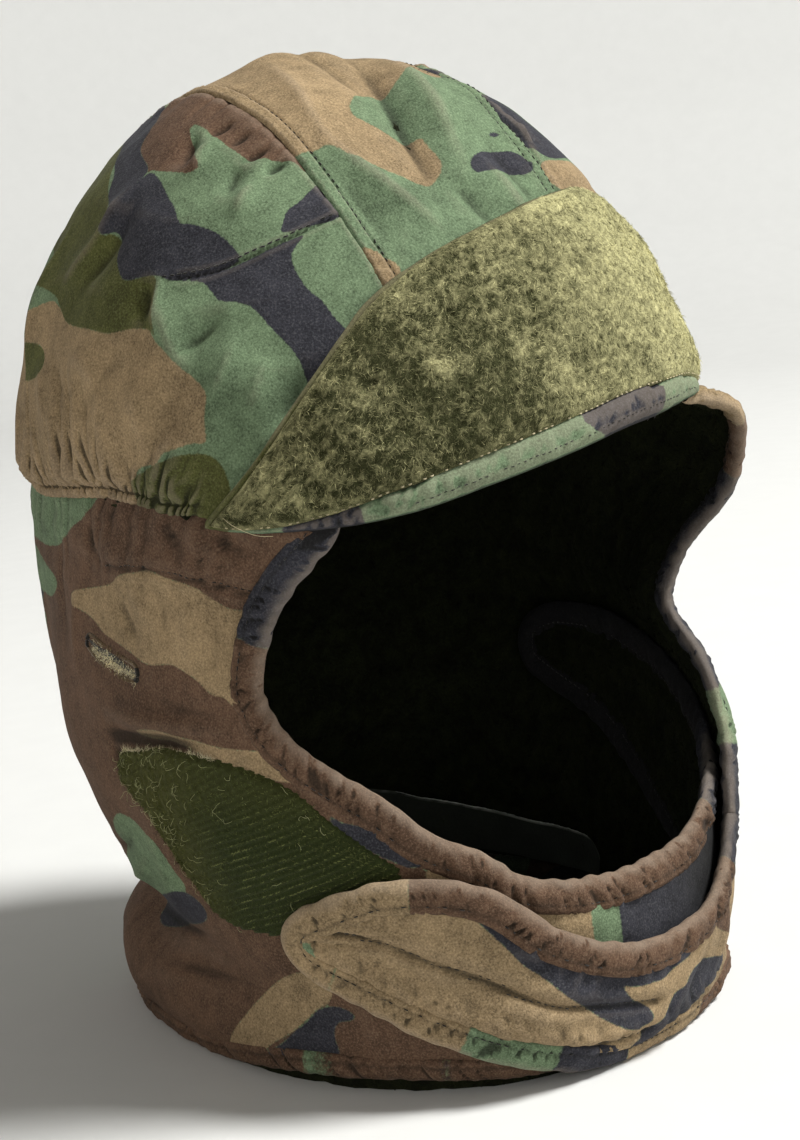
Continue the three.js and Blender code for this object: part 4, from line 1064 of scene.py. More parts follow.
def camouflage_cloth(name, colours, rub_and_highlight):
    """Woven cotton and nylon, printed and washed pale: the weave shows as fine light flecks."""
    material, tree, place = new_material(name)
    # Print edges wander by about 0.4 mm, as dye does along the yarns.
    edge = add(tree, "TexNoise", {"Scale": 1100.0, "Detail": 2.0}, Vector=place)
    wander = add(tree, "Math", {"operation": "MULTIPLY_ADD", 1: 1.0, 2: -0.5}, _0=edge)
    colour = None
    for key in PRINTS:
        printed = add(tree, "Attribute", {"attribute_name": "print_" + key}, "Fac")
        shifted = add(tree, "Math", {"operation": "ADD"}, _0=printed, _1=wander)
        share = add(tree, "MapRange", {"From Min": -0.28, "From Max": 0.2}, Value=shifted)
        settings = {"data_type": "RGBA", 6: rgba(colours.green), 7: rgba(getattr(colours, key))}
        under = {"_6": colour} if colour else {}
        colour = add(tree, "Mix", settings, 2, _0=share, **under)
    # Washed patches, 30 mm and 5 mm across.
    broad = add(tree, "TexNoise", {"Scale": 34.0, "Detail": 3.0}, Vector=place)
    small = add(tree, "TexNoise", {"Scale": 210.0, "Detail": 3.0}, Vector=place)
    both = add(tree, "Math", {"operation": "ADD"}, _0=broad, _1=small)
    # Yarns are 0.3 mm apart; the flecks are drawn 0.6 mm apart so that they show.
    fleck = add(tree, "TexNoise", {"Scale": 1700.0, "Detail": 1.5, "Roughness": 0.7}, Vector=place)
    both = add(tree, "Math", {"operation": "MULTIPLY_ADD", 1: 2.2}, _0=fleck, _2=both)
    settings = {"From Min": 1.5, "From Max": 2.7, "To Min": 0.5, "To Max": 1.5}
    value = add(tree, "MapRange", settings, Value=both)
    colour = add(tree, "HueSaturation", Value=value, Color=colour)
    # Bare yarns show pale, ridges are rubbed pale with a painted highlight, and valleys get painted shade
    # with some grime.
    worn_part = add(tree, "Attribute", {"attribute_name": "worn"}, "Fac")
    layers = [
        (fleck, 0.55, 0.8, 0.1, BARE_YARN), (worn_part, 0.05, 0.6, rub_and_highlight, RUBBED_AND_HIGHLIT),
        (worn_part, -0.09, -0.8, 0.72, SHADE_AND_GRIME),
    ]
    for source, start, end, most, tint in layers:
        share = add(tree, "MapRange", {"From Min": start, "From Max": end, "To Max": most}, Value=source)
        colour = add(tree, "Mix", {"data_type": "RGBA", 7: rgba(tint)}, 2, _0=share, _6=colour)
    rumples = add(tree, "TexNoise", {"Scale": 240.0, "Detail": 4.0}, Vector=place)
    first = add(tree, "Bump", {"Strength": 0.3, "Distance": 0.001}, Height=rumples)
    bump = add(tree, "Bump", {"Strength": 0.5, "Distance": 0.0003}, Height=fleck, Normal=first)
    finish_material(tree, colour, bump, 0.9, sheen=0.02, specular=0.1)
    return material


def wool_pile(name, dark, light, strands, matting=0.5):
    """Knitted wool pile, brushed and matted: soft clumps, deep shadow between them."""
    material, tree, place = new_material(name)
    settings = {"Scale": 330.0, "Detail": 5.0, "Roughness": 0.65, "Distortion": 0.8}
    clump = add(tree, "TexNoise", settings, Vector=place)
    tone = add(tree, "Attribute", {"attribute_name": "tone"}, "Fac")
    total = add(tree, "Math", {"operation": "MULTIPLY_ADD", 1: 1.1, 2: -0.55}, _0=clump)
    total = add(tree, "Math", {"operation": "ADD"}, _0=total, _1=tone)
    share = add(tree, "MapRange", {"From Min": 0.0, "From Max": 1.0}, Value=total)
    colour = add(tree, "Mix", {"data_type": "RGBA", 6: rgba(dark), 7: rgba(light)}, 2, _0=share)
    fibre = add(tree, "TexNoise", {"Scale": 1400.0, "Detail": 3.0, "Roughness": 0.8}, Vector=place)
    settings = {"From Min": 0.3, "From Max": 0.7, "To Min": 0.6, "To Max": 1.35}
    value = add(tree, "MapRange", settings, Value=fibre)
    colour = add(tree, "HueSaturation", Value=value, Color=colour)
    height = add(tree, "Math", {"operation": "MULTIPLY_ADD", 1: 0.35}, _0=fibre, _2=clump)
    bump = add(tree, "Bump", {"Strength": 0.2 if strands else 0.9, "Distance": 0.0016}, Height=height)
    finish_material(tree, colour, bump, 0.95, sheen=matting, specular=0.1, sheen_tint=tuple(light))
    return material


def loop_tape(colours):
    """Knitted nylon loop tape: dull green ribs with rows of pale worn loops."""
    material, tree, place = new_material("Nylon loop tape, knitted in ribs")
    loops = add(tree, "Attribute", {"attribute_name": "loops"}, "Fac")
    rough = add(tree, "TexNoise", {"Scale": 1300.0, "Detail": 3.0, "Roughness": 0.75}, Vector=place)
    share = add(tree, "Math", {"operation": "MULTIPLY"}, _0=loops, _1=rough)
    share = add(tree, "MapRange", {"From Min": 0.22, "From Max": 0.62, "To Max": 0.85}, Value=share)
    settings = {"From Min": 0.3, "From Max": 0.7, "To Min": 0.55, "To Max": 1.5}
    value = add(tree, "MapRange", settings, Value=rough)
    base = add(tree, "HueSaturation", {"Color": rgba(colours.patch)}, Value=value)
    # Ribs worn to fuzz are a warmer green.
    fuzz = add(tree, "Attribute", {"attribute_name": "fuzz"}, "Fac")
    warm = add(tree, "Mix", {"data_type": "RGBA", 7: rgba(RIB_FUZZ)}, 2, _0=fuzz, _6=base)
    colour = add(tree, "Mix", {"data_type": "RGBA", 7: rgba(colours.patch_thread)}, 2, _0=share, _6=warm)
    bump = add(tree, "Bump", {"Strength": 0.7, "Distance": 0.0006}, Height=rough)
    finish_material(tree, colour, bump, 0.85, sheen=0.03, specular=0.12)
    return material


def plain_cloth(name, dye, fleck=0.25):
    """Plain woven cloth or thread in one dye, uneven from wear."""
    material, tree, place = new_material(name)
    rough = add(tree, "TexNoise", {"Scale": 900.0, "Detail": 3.0, "Roughness": 0.7}, Vector=place)
    broad = add(tree, "TexNoise", {"Scale": 70.0, "Detail": 3.0}, Vector=place)
    both = add(tree, "Math", {"operation": "ADD"}, _0=rough, _1=broad)
    settings = {"From Min": 0.6, "From Max": 1.4, "To Min": 1 - 2 * fleck, "To Max": 1 + 2 * fleck}
    value = add(tree, "MapRange", settings, Value=both)
    colour = add(tree, "HueSaturation", {"Color": rgba(dye)}, Value=value)
    edge = add(tree, "Attribute", {"attribute_name": "pale"}, "Fac")
    colour = add(tree, "Mix", {"data_type": "RGBA", 7: rgba(BARE_COTTON)}, 2, _0=edge, _6=colour)
    bump = add(tree, "Bump", {"Strength": 0.5, "Distance": 0.0004}, Height=rough)
    finish_material(tree, colour, bump, 0.88)
    return material


def shared_material(make, name, key=None, amount=0.25):
    """The material of that name, made when it is first needed."""
    colours = bpy.context.scene.liner_cap_colours
    return bpy.data.materials.get(name) or make(name, getattr(colours, key) if key else colours, amount)


def cloth_material():
    return shared_material(camouflage_cloth, "Printed cotton nylon, woven and faded", amount=0.2)


def tape_material():
    # The tape's ridges are rubbed pale harder, which also paints highlights on them.
    return shared_material(camouflage_cloth, "Printed cotton nylon tape, folded and rubbed", amount=0.34)


def dark_thread():
    return shared_material(plain_cloth, "Polyester thread, dark", "thread_dark")


def light_thread():
    return shared_material(plain_cloth, "Cotton thread, pale", "thread_light")


# The worn value rubs ridges pale with a painted highlight and gives valleys painted shade with some grime.
def print_values(prints, height):
    return {**{"print_" + key: prints[key] for key in PRINTS}, "worn": height}


# Panels of cloth, with their folds.
panels = {}


def crown_center_sheet(sizes):
    rows = 300
    edge = np.concatenate([np.linspace(0, 1.4, 4), np.linspace(1.9, 5.2, 9)])
    inner = np.linspace(5.9, SEAM_X, int(24 / (sizes.cell / MM)) + 6)
    half = np.concatenate([edge, inner]) - SEAM_X - 0.15
    across = np.concatenate([half, -half[-2::-1]])
    start = (front_rise(np.degrees(np.arctan2(across, 95.5))) + 0.6)[:, None]
    x = across[:, None] + np.zeros(rows)
    angle = mix(np.maximum(start, 0), 181.6, np.linspace(0, 1, rows)[None])
    points = crown_point(seam_direction(x, angle), HALF_CLOTH)
    along = angle * CENTER_DEGREE_MM
    sheet = Sheet(points, grid_normals(points), x, along)
    height = sizes.crumple / MM * crumple(points, 11)
    height += 1.42 * creases(x, along, CENTER_CREASES, (1, CENTER_DEGREE_MM)) * smooth(angle, 20, 45)
    # Felled seam on the wearer's right: a flat raised band with small puckers, stitched along its inner side.
    band = x + SEAM_X
    pucker = ruffle(along + band * 0.8, 3.2, 21)
    height += (0.75 + 0.6 * (pucker - 0.5)) * fall(band, 3.5, 4.0) - 0.5 * bell(band - 4.1, 0.45)
    height -= 0.95 * fall(band, 0, 0.7)
    other = SEAM_X - x
    crossing = ruffle(along - other * 0.6, 3.6, 22)
    height += 0.35 * crossing * bell(other - 2.2, 3.0) - 0.55 * bell(other - 3.6, 0.5)
    height -= 0.9 * fall(other, 0, 0.7)
    return sheet.raised(height), worn(height)


def crumple(points, seed):
    """Soft creased unevenness of worn cloth."""
    broad = 1 - 2 * np.abs(waves(points, 46, seed))
    return 0.9 * broad + 0.7 * waves(points, 24, seed + 1) + 0.12 * waves(points, 7, seed + 2)


def crown_side_sheet(sizes, sign):
    columns = 480
    low = np.concatenate([np.linspace(0, 0.095, 22), np.linspace(0.1, 0.25, 20)])
    share = np.concatenate([low, np.linspace(0.262, 1, int(92 / (sizes.cell / MM)))])
    along, row = np.meshgrid(np.linspace(0, 1, columns), 1 - share[::-1], indexing="ij")
    theta = sign * mix(*SIDE_ENDS, along)
    front = front_rise(theta)
    top = seam_direction(sign * (SEAM_X - SEAM_LAP), mix(np.maximum(front[0, 0], 0) + 1.6, 178.6, along))
    top = unit(top)
    drop = 2 * smooth(along, 0.28, 0.35)
    # The front edge is hidden behind the peak and clears the tape of the face edge.
    clear = 2.6 * smooth(theta, -54, -47) * fall(theta, -40, -32) if sign < 0 else temple_lift(theta) / 1.7
    rise = np.maximum(front + 0.9, 0) * fall(along, 0.2, 0.27) + clear - drop + band_lift(theta) / 1.62
    bottom = head_direction(theta, rise)
    points = crown_point(mix(top, bottom, row[..., None]), HALF_CLOTH)
    u, v = flattened_dome(points)
    sheet = Sheet(points, grid_normals(points), u, v)
    step = np.linalg.norm(np.diff(points, axis=1), axis=-1)
    from_top = np.concatenate([np.zeros((columns, 1)), np.cumsum(step, axis=1)], 1)
    up = from_top[:, -1:] - from_top
    from_top = from_top - SEAM_LAP
    gathered = smooth(along, 0.27, 0.33)
    height = sizes.crumple / MM * crumple(points, 31 + sign)
    height += 1.7 * creases(u, v, SIDE_RIGHT_CREASES if sign < 0 else SIDE_LEFT_CREASES)
    ruffles, valleys = gathers(points, theta * GATHER_DEGREE_MM, up, sizes.gather / MM, 41 + sign)
    height += gathered * ruffles
    side = smooth(theta, -150, -90) if sign < 0 else 1.0
    height -= gathered * 2.2 * bell(up, 13) * side
    # The seam to the centre panel, with small puckers that run off it.
    pull = ruffle(along * 270, 8.5, 51) * bell(from_top, 8)
    pull = pull + 0.5 * ruffle(along * 270, 3.4, 52) * bell(from_top, 2.5)
    pull = 1.2 * (pull - 0.4) * (0.5 + 0.5 * smooth(along, 0.42, 0.5)) * smooth(from_top, -0.6, 1.4)
    height += pull - 1.05 * fall(from_top, -0.2, 0.9)
    if sign < 0:
        # Seam between the upper and lower part: the upper one laps over by a step.
        line = rounded([*SIDE_SEAM, (-84, 112)], closed=False)
        distance, position = line_distance(u, v, line)
        taper = smooth(position, 0, 0.12)
        height -= 0.7 * bell(distance, 0.7) * taper
        height += 0.4 * bell(distance - 2.0, 1.3) * taper
    # Painted shade with some grime lies deep in the puckers of the elastic, and their ridges are rubbed pale.
    shade = worn(height) * (1 + 1.9 * gathered * fall(up, 10, 28)) - 0.9 * gathered * valleys
    return sheet.raised(height), shade


def gathers(points, s, up, tall, seed):
    """Heights of the puckered elastic casing and of the ruffles above it, and how deep its valleys are."""
    uneven = np.clip(0.85 + 0.6 * waves(points * [1, 1, 0.15], 26, seed), 0.25, 1.7)
    lean = s + up * 0.22 * np.sin(s / 15) + 0.6 * waves(points, 9, seed + 1)
    casing = fall(up, 2.7, 3.2)
    fine = ruffle(lean, 3.1, seed + 2, 0.25) ** 1.8
    small = ruffle(lean, 4.4, seed + 3) ** 1.5
    middle = ruffle(lean, 7.6, seed + 4) ** 1.4
    large = ruffle(lean, 13, seed + 5) ** 1.3
    height = casing * (2.1 * (fine - 0.5) + 0.2 * np.sqrt(np.clip(1 - ((up - 1.4) / 1.7) ** 2, 0, 1)))
    height -= 0.35 * bell(up - 3.3, 0.6)
    height += tall * 0.55 * (fine - 0.5) * smooth(up, 2.8, 3.4) * fall(up, 3.6, 7)
    height += tall * 1.0 * (small - 0.45) * smooth(up, 2.8, 4.4) * fall(up, 6, 15) * uneven
    height += tall * 1.1 * (middle - 0.45) * smooth(up, 3.2, 7) * fall(up, 9, 26) * uneven
    height += tall * 0.65 * (large - 0.5) * smooth(up, 6, 14) * fall(up, 18, 42) * uneven
    height += 1.3 * smooth(up, 3, 7.5) * fall(up, 12, 40) - 0.9 * fall(up, 0, 0.8)
    return height, casing * (1 - fine) ** 2 + 0.8 * bell(up - 3.3, 0.7)


def left_front(z):
    """Theta of the left half's front edge, from the root of its flap up along the face."""
    return np.where(z > 88, face_edge(z), mix(32, 40.5, smooth(z, 46, 90)))


def flap_bottom(theta, right):
    """Lower edge of a flap, level with the hem where it is still part of the wall."""
    hem = hem_height(theta) + HEM_MARGIN
    if right:
        return np.maximum(under_bottom(theta), mix(hem, -99.0, smooth(theta, 10, 20)))
    return mix(over_bottom(theta), hem, smooth(theta, -13, -1))


def wall_spots(cell, side):
    """Grid of half of the neck wall with its flap: theta, height, upright rows and the cells used."""
    right, root = side == "right", FLAP_ROOT[side]
    low = np.arange(HEM_MARGIN, root, cell)
    rows = np.concatenate([low, np.linspace(root, WALL_TOP, int((WALL_TOP - root) / cell))])
    front = -face_edge(rows) if right else left_front(rows)
    columns = int(225 / cell)
    theta = mix(BACK_SEAM[side], front[None], np.linspace(0, 1, columns)[:, None])
    z = rows + hem_height(theta) * fall(rows - HEM_MARGIN, -20, 62)
    z += band_lift(theta) * smooth(rows, 158, 169)
    z -= 2.8 * fall(np.abs(theta), 60, 67) * smooth(rows, 160, 170)
    flap_theta = np.linspace(*FLAP_ENDS[side], int(FLAP_LENGTH[side] / cell) + 1)[1:, None]
    part = np.clip((rows - HEM_MARGIN) / (root - HEM_MARGIN), 0, 1)[None]
    flap_z = mix(flap_bottom(flap_theta, right), (under_top if right else over_top)(flap_theta), part)
    theta = np.vstack([theta, np.broadcast_to(flap_theta, flap_z.shape)])
    z = np.vstack([z, flap_z])
    present = np.ones((theta.shape[0] - 1, theta.shape[1] - 1), bool)
    present[columns - 1:, len(low):] = False
    return theta, z, rows, present


def neck_relief(points, theta, z, right, amount):
    """Folds, puckers and sewn lines of the neck wall, in millimetres."""
    u = theta * DEGREE_MM
    seed = 61 if right else 71
    height = amount * crumple(points, seed)
    table = WALL_RIGHT_CREASES if right else WALL_LEFT_CREASES
    height += 1.25 * creases(u, z, table, (DEGREE_MM, 1))
    height -= 0.8 * bell((180 - np.abs(theta)) * DEGREE_MM, 0.8)
    under = smooth(z, 138, 160) * smooth(np.abs(theta), 48, 60)
    height += under * 1.0 * (ruffle(u + (168 - z) * 0.25, 9.5, seed + 2) - 0.5)
    if right:
        line = rounded(DART, closed=False) * [DEGREE_MM, 1]
        distance, position = line_distance(u, z, line)
        height -= 0.6 * bell(distance, 0.9) * smooth(position, 0, 0.1)
        height += 0.45 * bell(distance - 2.4, 1.6) * smooth(position, 0, 0.1)
        height -= 1.6 * bell(np.hypot(u - DIMPLE[0] * DEGREE_MM, z - DIMPLE[1]), 3.0)
    else:
        for line in FLAP_LINES:
            distance, _ = line_distance(u, z, rounded(line, closed=False) * [DEGREE_MM, 1])
            height += 0.6 * bell(distance - 3.4, 2.2) - 1.2 * bell(distance, 1.1)
        # Puckers that run in from the tape round the tip of the flap.
        tip_distance = np.hypot(u - FLAP_TIP[0] * DEGREE_MM, z - FLAP_TIP[1])
        fan = np.degrees(np.arctan2(z - FLAP_TIP[1], u + 36 * DEGREE_MM))
        height += 1.1 * (ruffle(fan, 17, 75) - 1.0) * bell(tip_distance, 15)
        edge = over_top(theta) - z
        near = bell(edge, 6) * (theta < 30)
        height += 0.8 * near * (ruffle(u + edge * 0.5, 8.0, 76) - 1.0)
        low = z - np.where(theta < -6, over_bottom(theta), hem_height(theta) + HEM_MARGIN)
        band = (theta < 30) & (low < 12)
        height += 1.25 * band * bell(low - 4.5, 3.6) * ruffle(u + low * 0.3, 5.5, 77)
    return height


def neck_sheet(sizes, side):
    right = side == "right"
    theta, z, _, present = wall_spots(sizes.cell / MM, side)
    middle, facing = wall_spot(theta, z, right)
    points = middle + facing * HALF_CLOTH
    height = neck_relief(points, theta, z, right, sizes.crumple / MM)
    lifted = points + facing * height[..., None]
    raised = Sheet(lifted, relief_normals(facing, lifted), theta * DEGREE_MM, z, present)
    return raised, height, theta, z


def relief_normals(facing, points):
    """Facings of the raised cloth, from its neighbours where they run smoothly."""
    fresh = np.cross(np.gradient(points, axis=0), np.gradient(points, axis=1))
    size = np.linalg.norm(fresh, axis=-1, keepdims=True)
    fresh = fresh / np.maximum(size, 1e-9)
    fresh = np.where((fresh * facing).sum(-1, keepdims=True) < 0, -fresh, fresh)
    fine = ((fresh * facing).sum(-1, keepdims=True) > 0.5) & (size > 1e-6)
    return np.where(fine, fresh, facing)


# Operators.
class PieceOperator:
    bl_options = {"REGISTER", "UNDO"}

    @staticmethod
    def settings(context):
        return context.scene.liner_cap_sizes, context.scene.liner_cap_colours


class LINERCAP_OT_crown(PieceOperator, bpy.types.Operator):
    """Make the three cloth panels of the crown, their seams and gathers"""

    bl_idname = "liner_cap.crown"
    bl_label = "Crown"

    def execute(self, context):
        sizes, _ = self.settings(context)
        cloth = cloth_material()
        sheet, shade = crown_center_sheet(sizes)
        prints = camouflage(sheet.points, sheet.u, sheet.v, CENTER_BLOTS, 101, (1, CENTER_DEGREE_MM))
        panels["center"] = sheet
        center = make_piece("crown_center_cloth", sheet.points, sheet.faces(), cloth,
                            "camouflage_cloth", ("crown_center_panel",), print_values(prints, shade))
        for side, sign, blots in (("right", -1, SIDE_RIGHT_BLOTS), ("left", 1, SIDE_LEFT_BLOTS)):
            sheet, shade = crown_side_sheet(sizes, sign)
            prints = camouflage(sheet.points, sheet.u, sheet.v, blots, 120 + sign)
            panels["side_" + side] = sheet
            piece = make_piece(f"crown_side_cloth_{side}", sheet.points, sheet.faces(), cloth,
                               "camouflage_cloth", (f"crown_side_panel_{side}",),
                               print_values(prints, shade))
        pitch = sizes.stitch / MM
        angles = np.linspace(4, 178, 400)
        rows = [crown_point(seam_direction(x, angles), HALF_CLOTH)
                for x in (4.4 - SEAM_X, SEAM_X - 3.7, SEAM_X - 1.2)]
        seam_row("crown_topstitch", rows, panels["center"], dark_thread(), pitch, (0.66, 0.36, 0.3))
        line = dome_line(rounded([*SIDE_SEAM, (-79, 107)], 3, closed=False))
        seam_row("crown_side_stitch", [line], panels["side_right"], dark_thread(), pitch)
        return {"FINISHED"}


def dome_line(line):
    """A line on the flattened dome of the wearer's right side as points on the crown, 1 mm above it."""
    u, v = line[:, 0] / DOME_CHART, line[:, 1] / DOME_CHART
    square = u * u + v * v
    x = -(1 - square) / (1 + square)
    scale = 2 / (1 + square)
    return crown_point(np.stack([x, u * scale, v * scale], 1), HALF_CLOTH) + np.array([0, 0, 1.0])


def peak_grid(cell, low, high, out):
    """A grid of the peak at a distance from the crown: theta, elevation and points."""
    columns, rows = (int(size / cell) for size in PEAK_SIZE)
    across = np.linspace(-PEAK_HALF_ANGLE, PEAK_HALF_ANGLE, columns)
    theta, up = np.meshgrid(across, np.linspace(0, 1, rows), indexing="ij")
    elevation = mix(low(theta), np.maximum(high(theta), low(theta) + 0.6), up)
    return theta, elevation, crown_point(head_direction(theta, elevation), out)


def strip_line(theta, share=1.0):
    """Elevation of a line along the peak's strip: its upper edge, where the pile begins, or a share of it."""
    return front_rise(theta) + strip_width(theta) / PEAK_DEGREE_MM * share


def pile_top(theta):
    """Elevation of the upper edge of the peak's pile."""
    return peak_edge(theta) - mix(2.2, 0.8, smooth(theta, -34, -14)) / PEAK_DEGREE_MM


class LINERCAP_OT_peak(PieceOperator, bpy.types.Operator):
    """Make the turned-up peak: its cloth, its wool pile and the sewn strip below it"""

    bl_idname = "liner_cap.peak"
    bl_label = "Peak"

    def execute(self, context):
        sizes, colours = self.settings(context)
        cloth = self.cloth(sizes)
        pile = self.pile(sizes, colours)
        theta = np.linspace(-56, 57, 300)
        row = crown_point(head_direction(theta, strip_line(theta) + 0.4), PEAK_CLOTH_OUT + 2.4)
        seam_row("peak_edge_stitch", [row], pile, light_thread(), 2.0, (0.5, 0.22, 0.35), 5, 0.25)
        theta = np.linspace(-28, 34, 200)
        row = crown_point(head_direction(theta, strip_line(theta, 0.45)), PEAK_CLOTH_OUT + 2.4)
        seam_row("peak_strip_stitch", [row], cloth, dark_thread(), 1.9, (0.6, 0.3, 0.3), 6)
        return {"FINISHED"}

    def cloth(self, sizes):
        theta, elevation, points = peak_grid(sizes.cell / MM, front_rise, peak_edge, PEAK_CLOTH_OUT)
        u, v = theta * DEGREE_MM, elevation * PEAK_DEGREE_MM
        up = (elevation - front_rise(theta)) * PEAK_DEGREE_MM
        tall = strip_width(theta)
        strip = up < tall
        # The strip below the pile is rolled over: round, and gathered on the wearer's right.
        roll = 2.9 * np.sqrt(np.clip(1 - ((up - tall * 0.62) / (tall * 0.62 + 0.2)) ** 2, 0, 1)) * (tall / 8)
        gathered = 0.6 + 1.1 * bell(theta + 34, 12)
        height = np.where(up < tall + 0.4, roll, 0)
        height += gathered * (ruffle(u + up * 0.4, 4.2, 81) - 0.4) * strip * smooth(up, 0, 2)
        height += 0.6 * (ruffle(u - up * 0.8, 9.0, 84) - 0.5) * strip * smooth(up, 1, 3)
        height -= 0.5 * bell(up - tall * 0.45, 0.5) * (tall > 5)
        height += 0.3 * waves(points, 9, 82) - 1.2 * fall(up, 0, 1.0)
        edge = (peak_edge(theta) - elevation) * PEAK_DEGREE_MM
        height += 1.6 * bell(edge - 1.6, 1.5) * smooth(edge, 0, 0.6) - 1.0 * fall(edge, 0, 0.7)
        sheet = Sheet(points, grid_normals(points), u, v).raised(height)
        prints = camouflage(sheet.points, u, v, PEAK_BLOTS, 131, (DEGREE_MM, PEAK_DEGREE_MM))
        back = crown_point(head_direction(theta, elevation), PEAK_CLOTH_OUT - 1.5).reshape(-1, 3)
        # Ridges rubbed pale with a painted highlight, painted shade in the valleys and on the gathered strip
        # at the wearer's right.
        shade = worn(height) * 1.5 - 0.5 * bell(theta + 38, 9) * strip
        piece = make_shell("peak_rolled_cloth", sheet, back, cloth_material(), "camouflage_cloth",
                           ("peak_cloth",), print_values(prints, shade))
        return sheet

    def pile(self, sizes, colours):
        wool = wool_pile("Wool pile, brushed and matted", colours.wool_dark, colours.wool_light, False)
        cell = sizes.cell / MM * 0.8
        theta, elevation, points = peak_grid(cell, strip_line, pile_top, PEAK_CLOTH_OUT + 0.9)
        up = (elevation - strip_line(theta)) * PEAK_DEGREE_MM
        down = (pile_top(theta) - elevation) * PEAK_DEGREE_MM
        edge = np.minimum(np.minimum(up, down), (PEAK_HALF_ANGLE - np.abs(theta)) * 1.5)
        height = 2.6 * (1 - np.exp(-np.clip(edge, 0, 99) / 2.0))
        clump = 0.85 - 0.7 * np.abs(waves(points * [1.3, 1, 0.8], 5.0, 91)) + 0.5 * waves(points, 2.4, 92)
        rough = mix(1.0, 0.62, smooth(theta, -12, 25))
        height += smooth(edge, 0, 3) * (0.85 * (clump - 0.5) * rough + 0.6 * waves(points, 22, 93))
        sheet = Sheet(points, grid_normals(points), theta, elevation)
        sheet = sheet.raised(np.maximum(height, 0.05) - 1.5 * fall(edge, 0, 0.5))
        # The wool's tone: painted light from pile_tone, with painted shade between the clumps and in the
        # hollows.
        matted = pile_tone(theta, elevation, points) + 0.17 * (clump - 0.5) * rough
        tone = np.clip(matted - 0.16 + 0.22 * worn(height, 3), 0, 1)
        base = make_piece("peak_pile_base", sheet.points, sheet.faces(), wool, "peak_pile", ("peak_pile",),
                          {"tone": tone})
        self.strands(sheet, matted, 0.3 + 0.7 * smooth(edge, 0, 3.5), sizes, colours)
        return sheet

    def strands(self, sheet, matted, reach, sizes, colours):
        rng = np.random.default_rng(95)
        places, normals, (i, j) = sheet.scattered(PEAK_STRANDS, rng)
        swirl = np.stack([waves(places, 15, seed) for seed in (96, 97, 98)], 1)
        lengths = sizes.wool / MM * rng.uniform(0.4, 1.05, PEAK_STRANDS) * reach[i, j]
        points, faces, tall = ribbon_strands(
            places, normals, lengths, 0.22, 0.74, 0.8, rng, np.array([-0.25, 0, -0.85]) + swirl * 1.1, 1.3)
        # Each strand darkens towards its root: painted shade deep in the pile.
        tone = np.repeat(matted[i, j] + rng.normal(0, 0.2, PEAK_STRANDS), 5) * (0.45 + 0.65 * tall)
        tone = {"tone": np.clip(tone, 0, 1)}
        wool = wool_pile("Wool strands", colours.wool_dark, colours.wool_light, True, 0.4)
        make_piece("peak_pile_strands", points, faces, wool, "peak_pile", values=tone)


def pile_tone(theta, elevation, points):
    """How light the peak's wool is: painted light that leaves it dark towards the wearer's right, away from
    the key, and pale on the left.
    """
    across = theta + 0.5 * (elevation - 20)
    tone = 0.15 + 0.26 * smooth(across, -20, 12) + 0.27 * smooth(across, 4, 34)
    tone = tone + 0.07 * waves(points, 30, 99) + 0.11 * waves(points, 9, 100)
    for t0, e0, wide, tall, change in PILE_PATCHES:
        tone = tone + change * hill(theta - t0, elevation - e0, wide, tall)
    return np.clip(tone, 0, 1)


def make_shell(name, sheet, back, material, slot, nodes, values):
    """A closed piece between a sheet and a smooth back of the same grid."""
    columns, rows = sheet.points.shape[:2]
    cells = sheet.faces()
    count = columns * rows
    number = np.arange(count).reshape(columns, rows)
    rim = np.concatenate([number[:, 0], number[-1, 1:], number[-2::-1, -1], number[0, -2:0:-1]])
    after = np.roll(rim, -1)
    wall = np.stack([rim, after, after + count, rim + count], 1)
    front = sheet.points.reshape(-1, 3)
    a, b, d = front[wall[:, 0]], front[wall[:, 1]], back[wall[:, 3] - count]
    middle = front.mean(0)
    if (np.cross(b - a, d - a) * (a - middle)).sum() < 0:
        wall = wall[:, ::-1]
    faces = np.concatenate([cells, cells[:, ::-1] + count, wall])
    both = {key: np.tile(np.ravel(numbers), 2) for key, numbers in values.items()}
    return make_piece(name, np.vstack([front, back]), faces, material, slot, nodes, both)


class LINERCAP_OT_neck(PieceOperator, bpy.types.Operator):
    """Make the two halves of the neck wall and their crossed flaps"""

    bl_idname = "liner_cap.neck"
    bl_label = "Neck and Flaps"

    def execute(self, context):
        sizes, _ = self.settings(context)
        for side, blots, seed in (("right", WALL_RIGHT_BLOTS, 141), ("left", FLAP_BLOTS, 151)):
            right = side == "right"
            sheet, height, theta, z = neck_sheet(sizes, side)
            prints = camouflage(sheet.points, sheet.u, sheet.v, blots, seed, (DEGREE_MM, 1))
            panels["neck_" + side] = sheet
            # Ridges are rubbed pale with a painted highlight held low, and valleys get painted shade; on the
            # right the fold above the loop patch and the inside of the under flap get more painted shade.
            shade = np.minimum(worn(height), 0.16)
            for around, up, wide, tall, change in FOLD_AND_FLAP_SHADE if right else ():
                shade = shade + change * hill(theta - around, z - up, wide, tall)
            piece = make_piece(f"neck_cloth_{side}", sheet.points, sheet.faces(),
                               cloth_material(), "camouflage_cloth", (f"neck_panel_{side}",),
                               print_values(prints, shade))
            drop_loose(piece)
        pitch = sizes.stitch / MM
        lines = [wall_line(line, False) for line in FLAP_LINES]
        seam_row("flap_stitch", lines, panels["neck_left"], dark_thread(), pitch, (0.62, 0.36, 0.26))
        lines = [wall_line(line, True) for line in (DART_STITCHES, BACK_STITCHES)]
        seam_row("neck_dart_stitch", lines, panels["neck_right"], dark_thread(), pitch, (0.66, 0.4, 0.3))
        return {"FINISHED"}


def wall_line(line, right):
    drawn = rounded(line, 3, closed=False)
    return wall_surface(drawn[:, 0], drawn[:, 1], right, HALF_CLOTH)


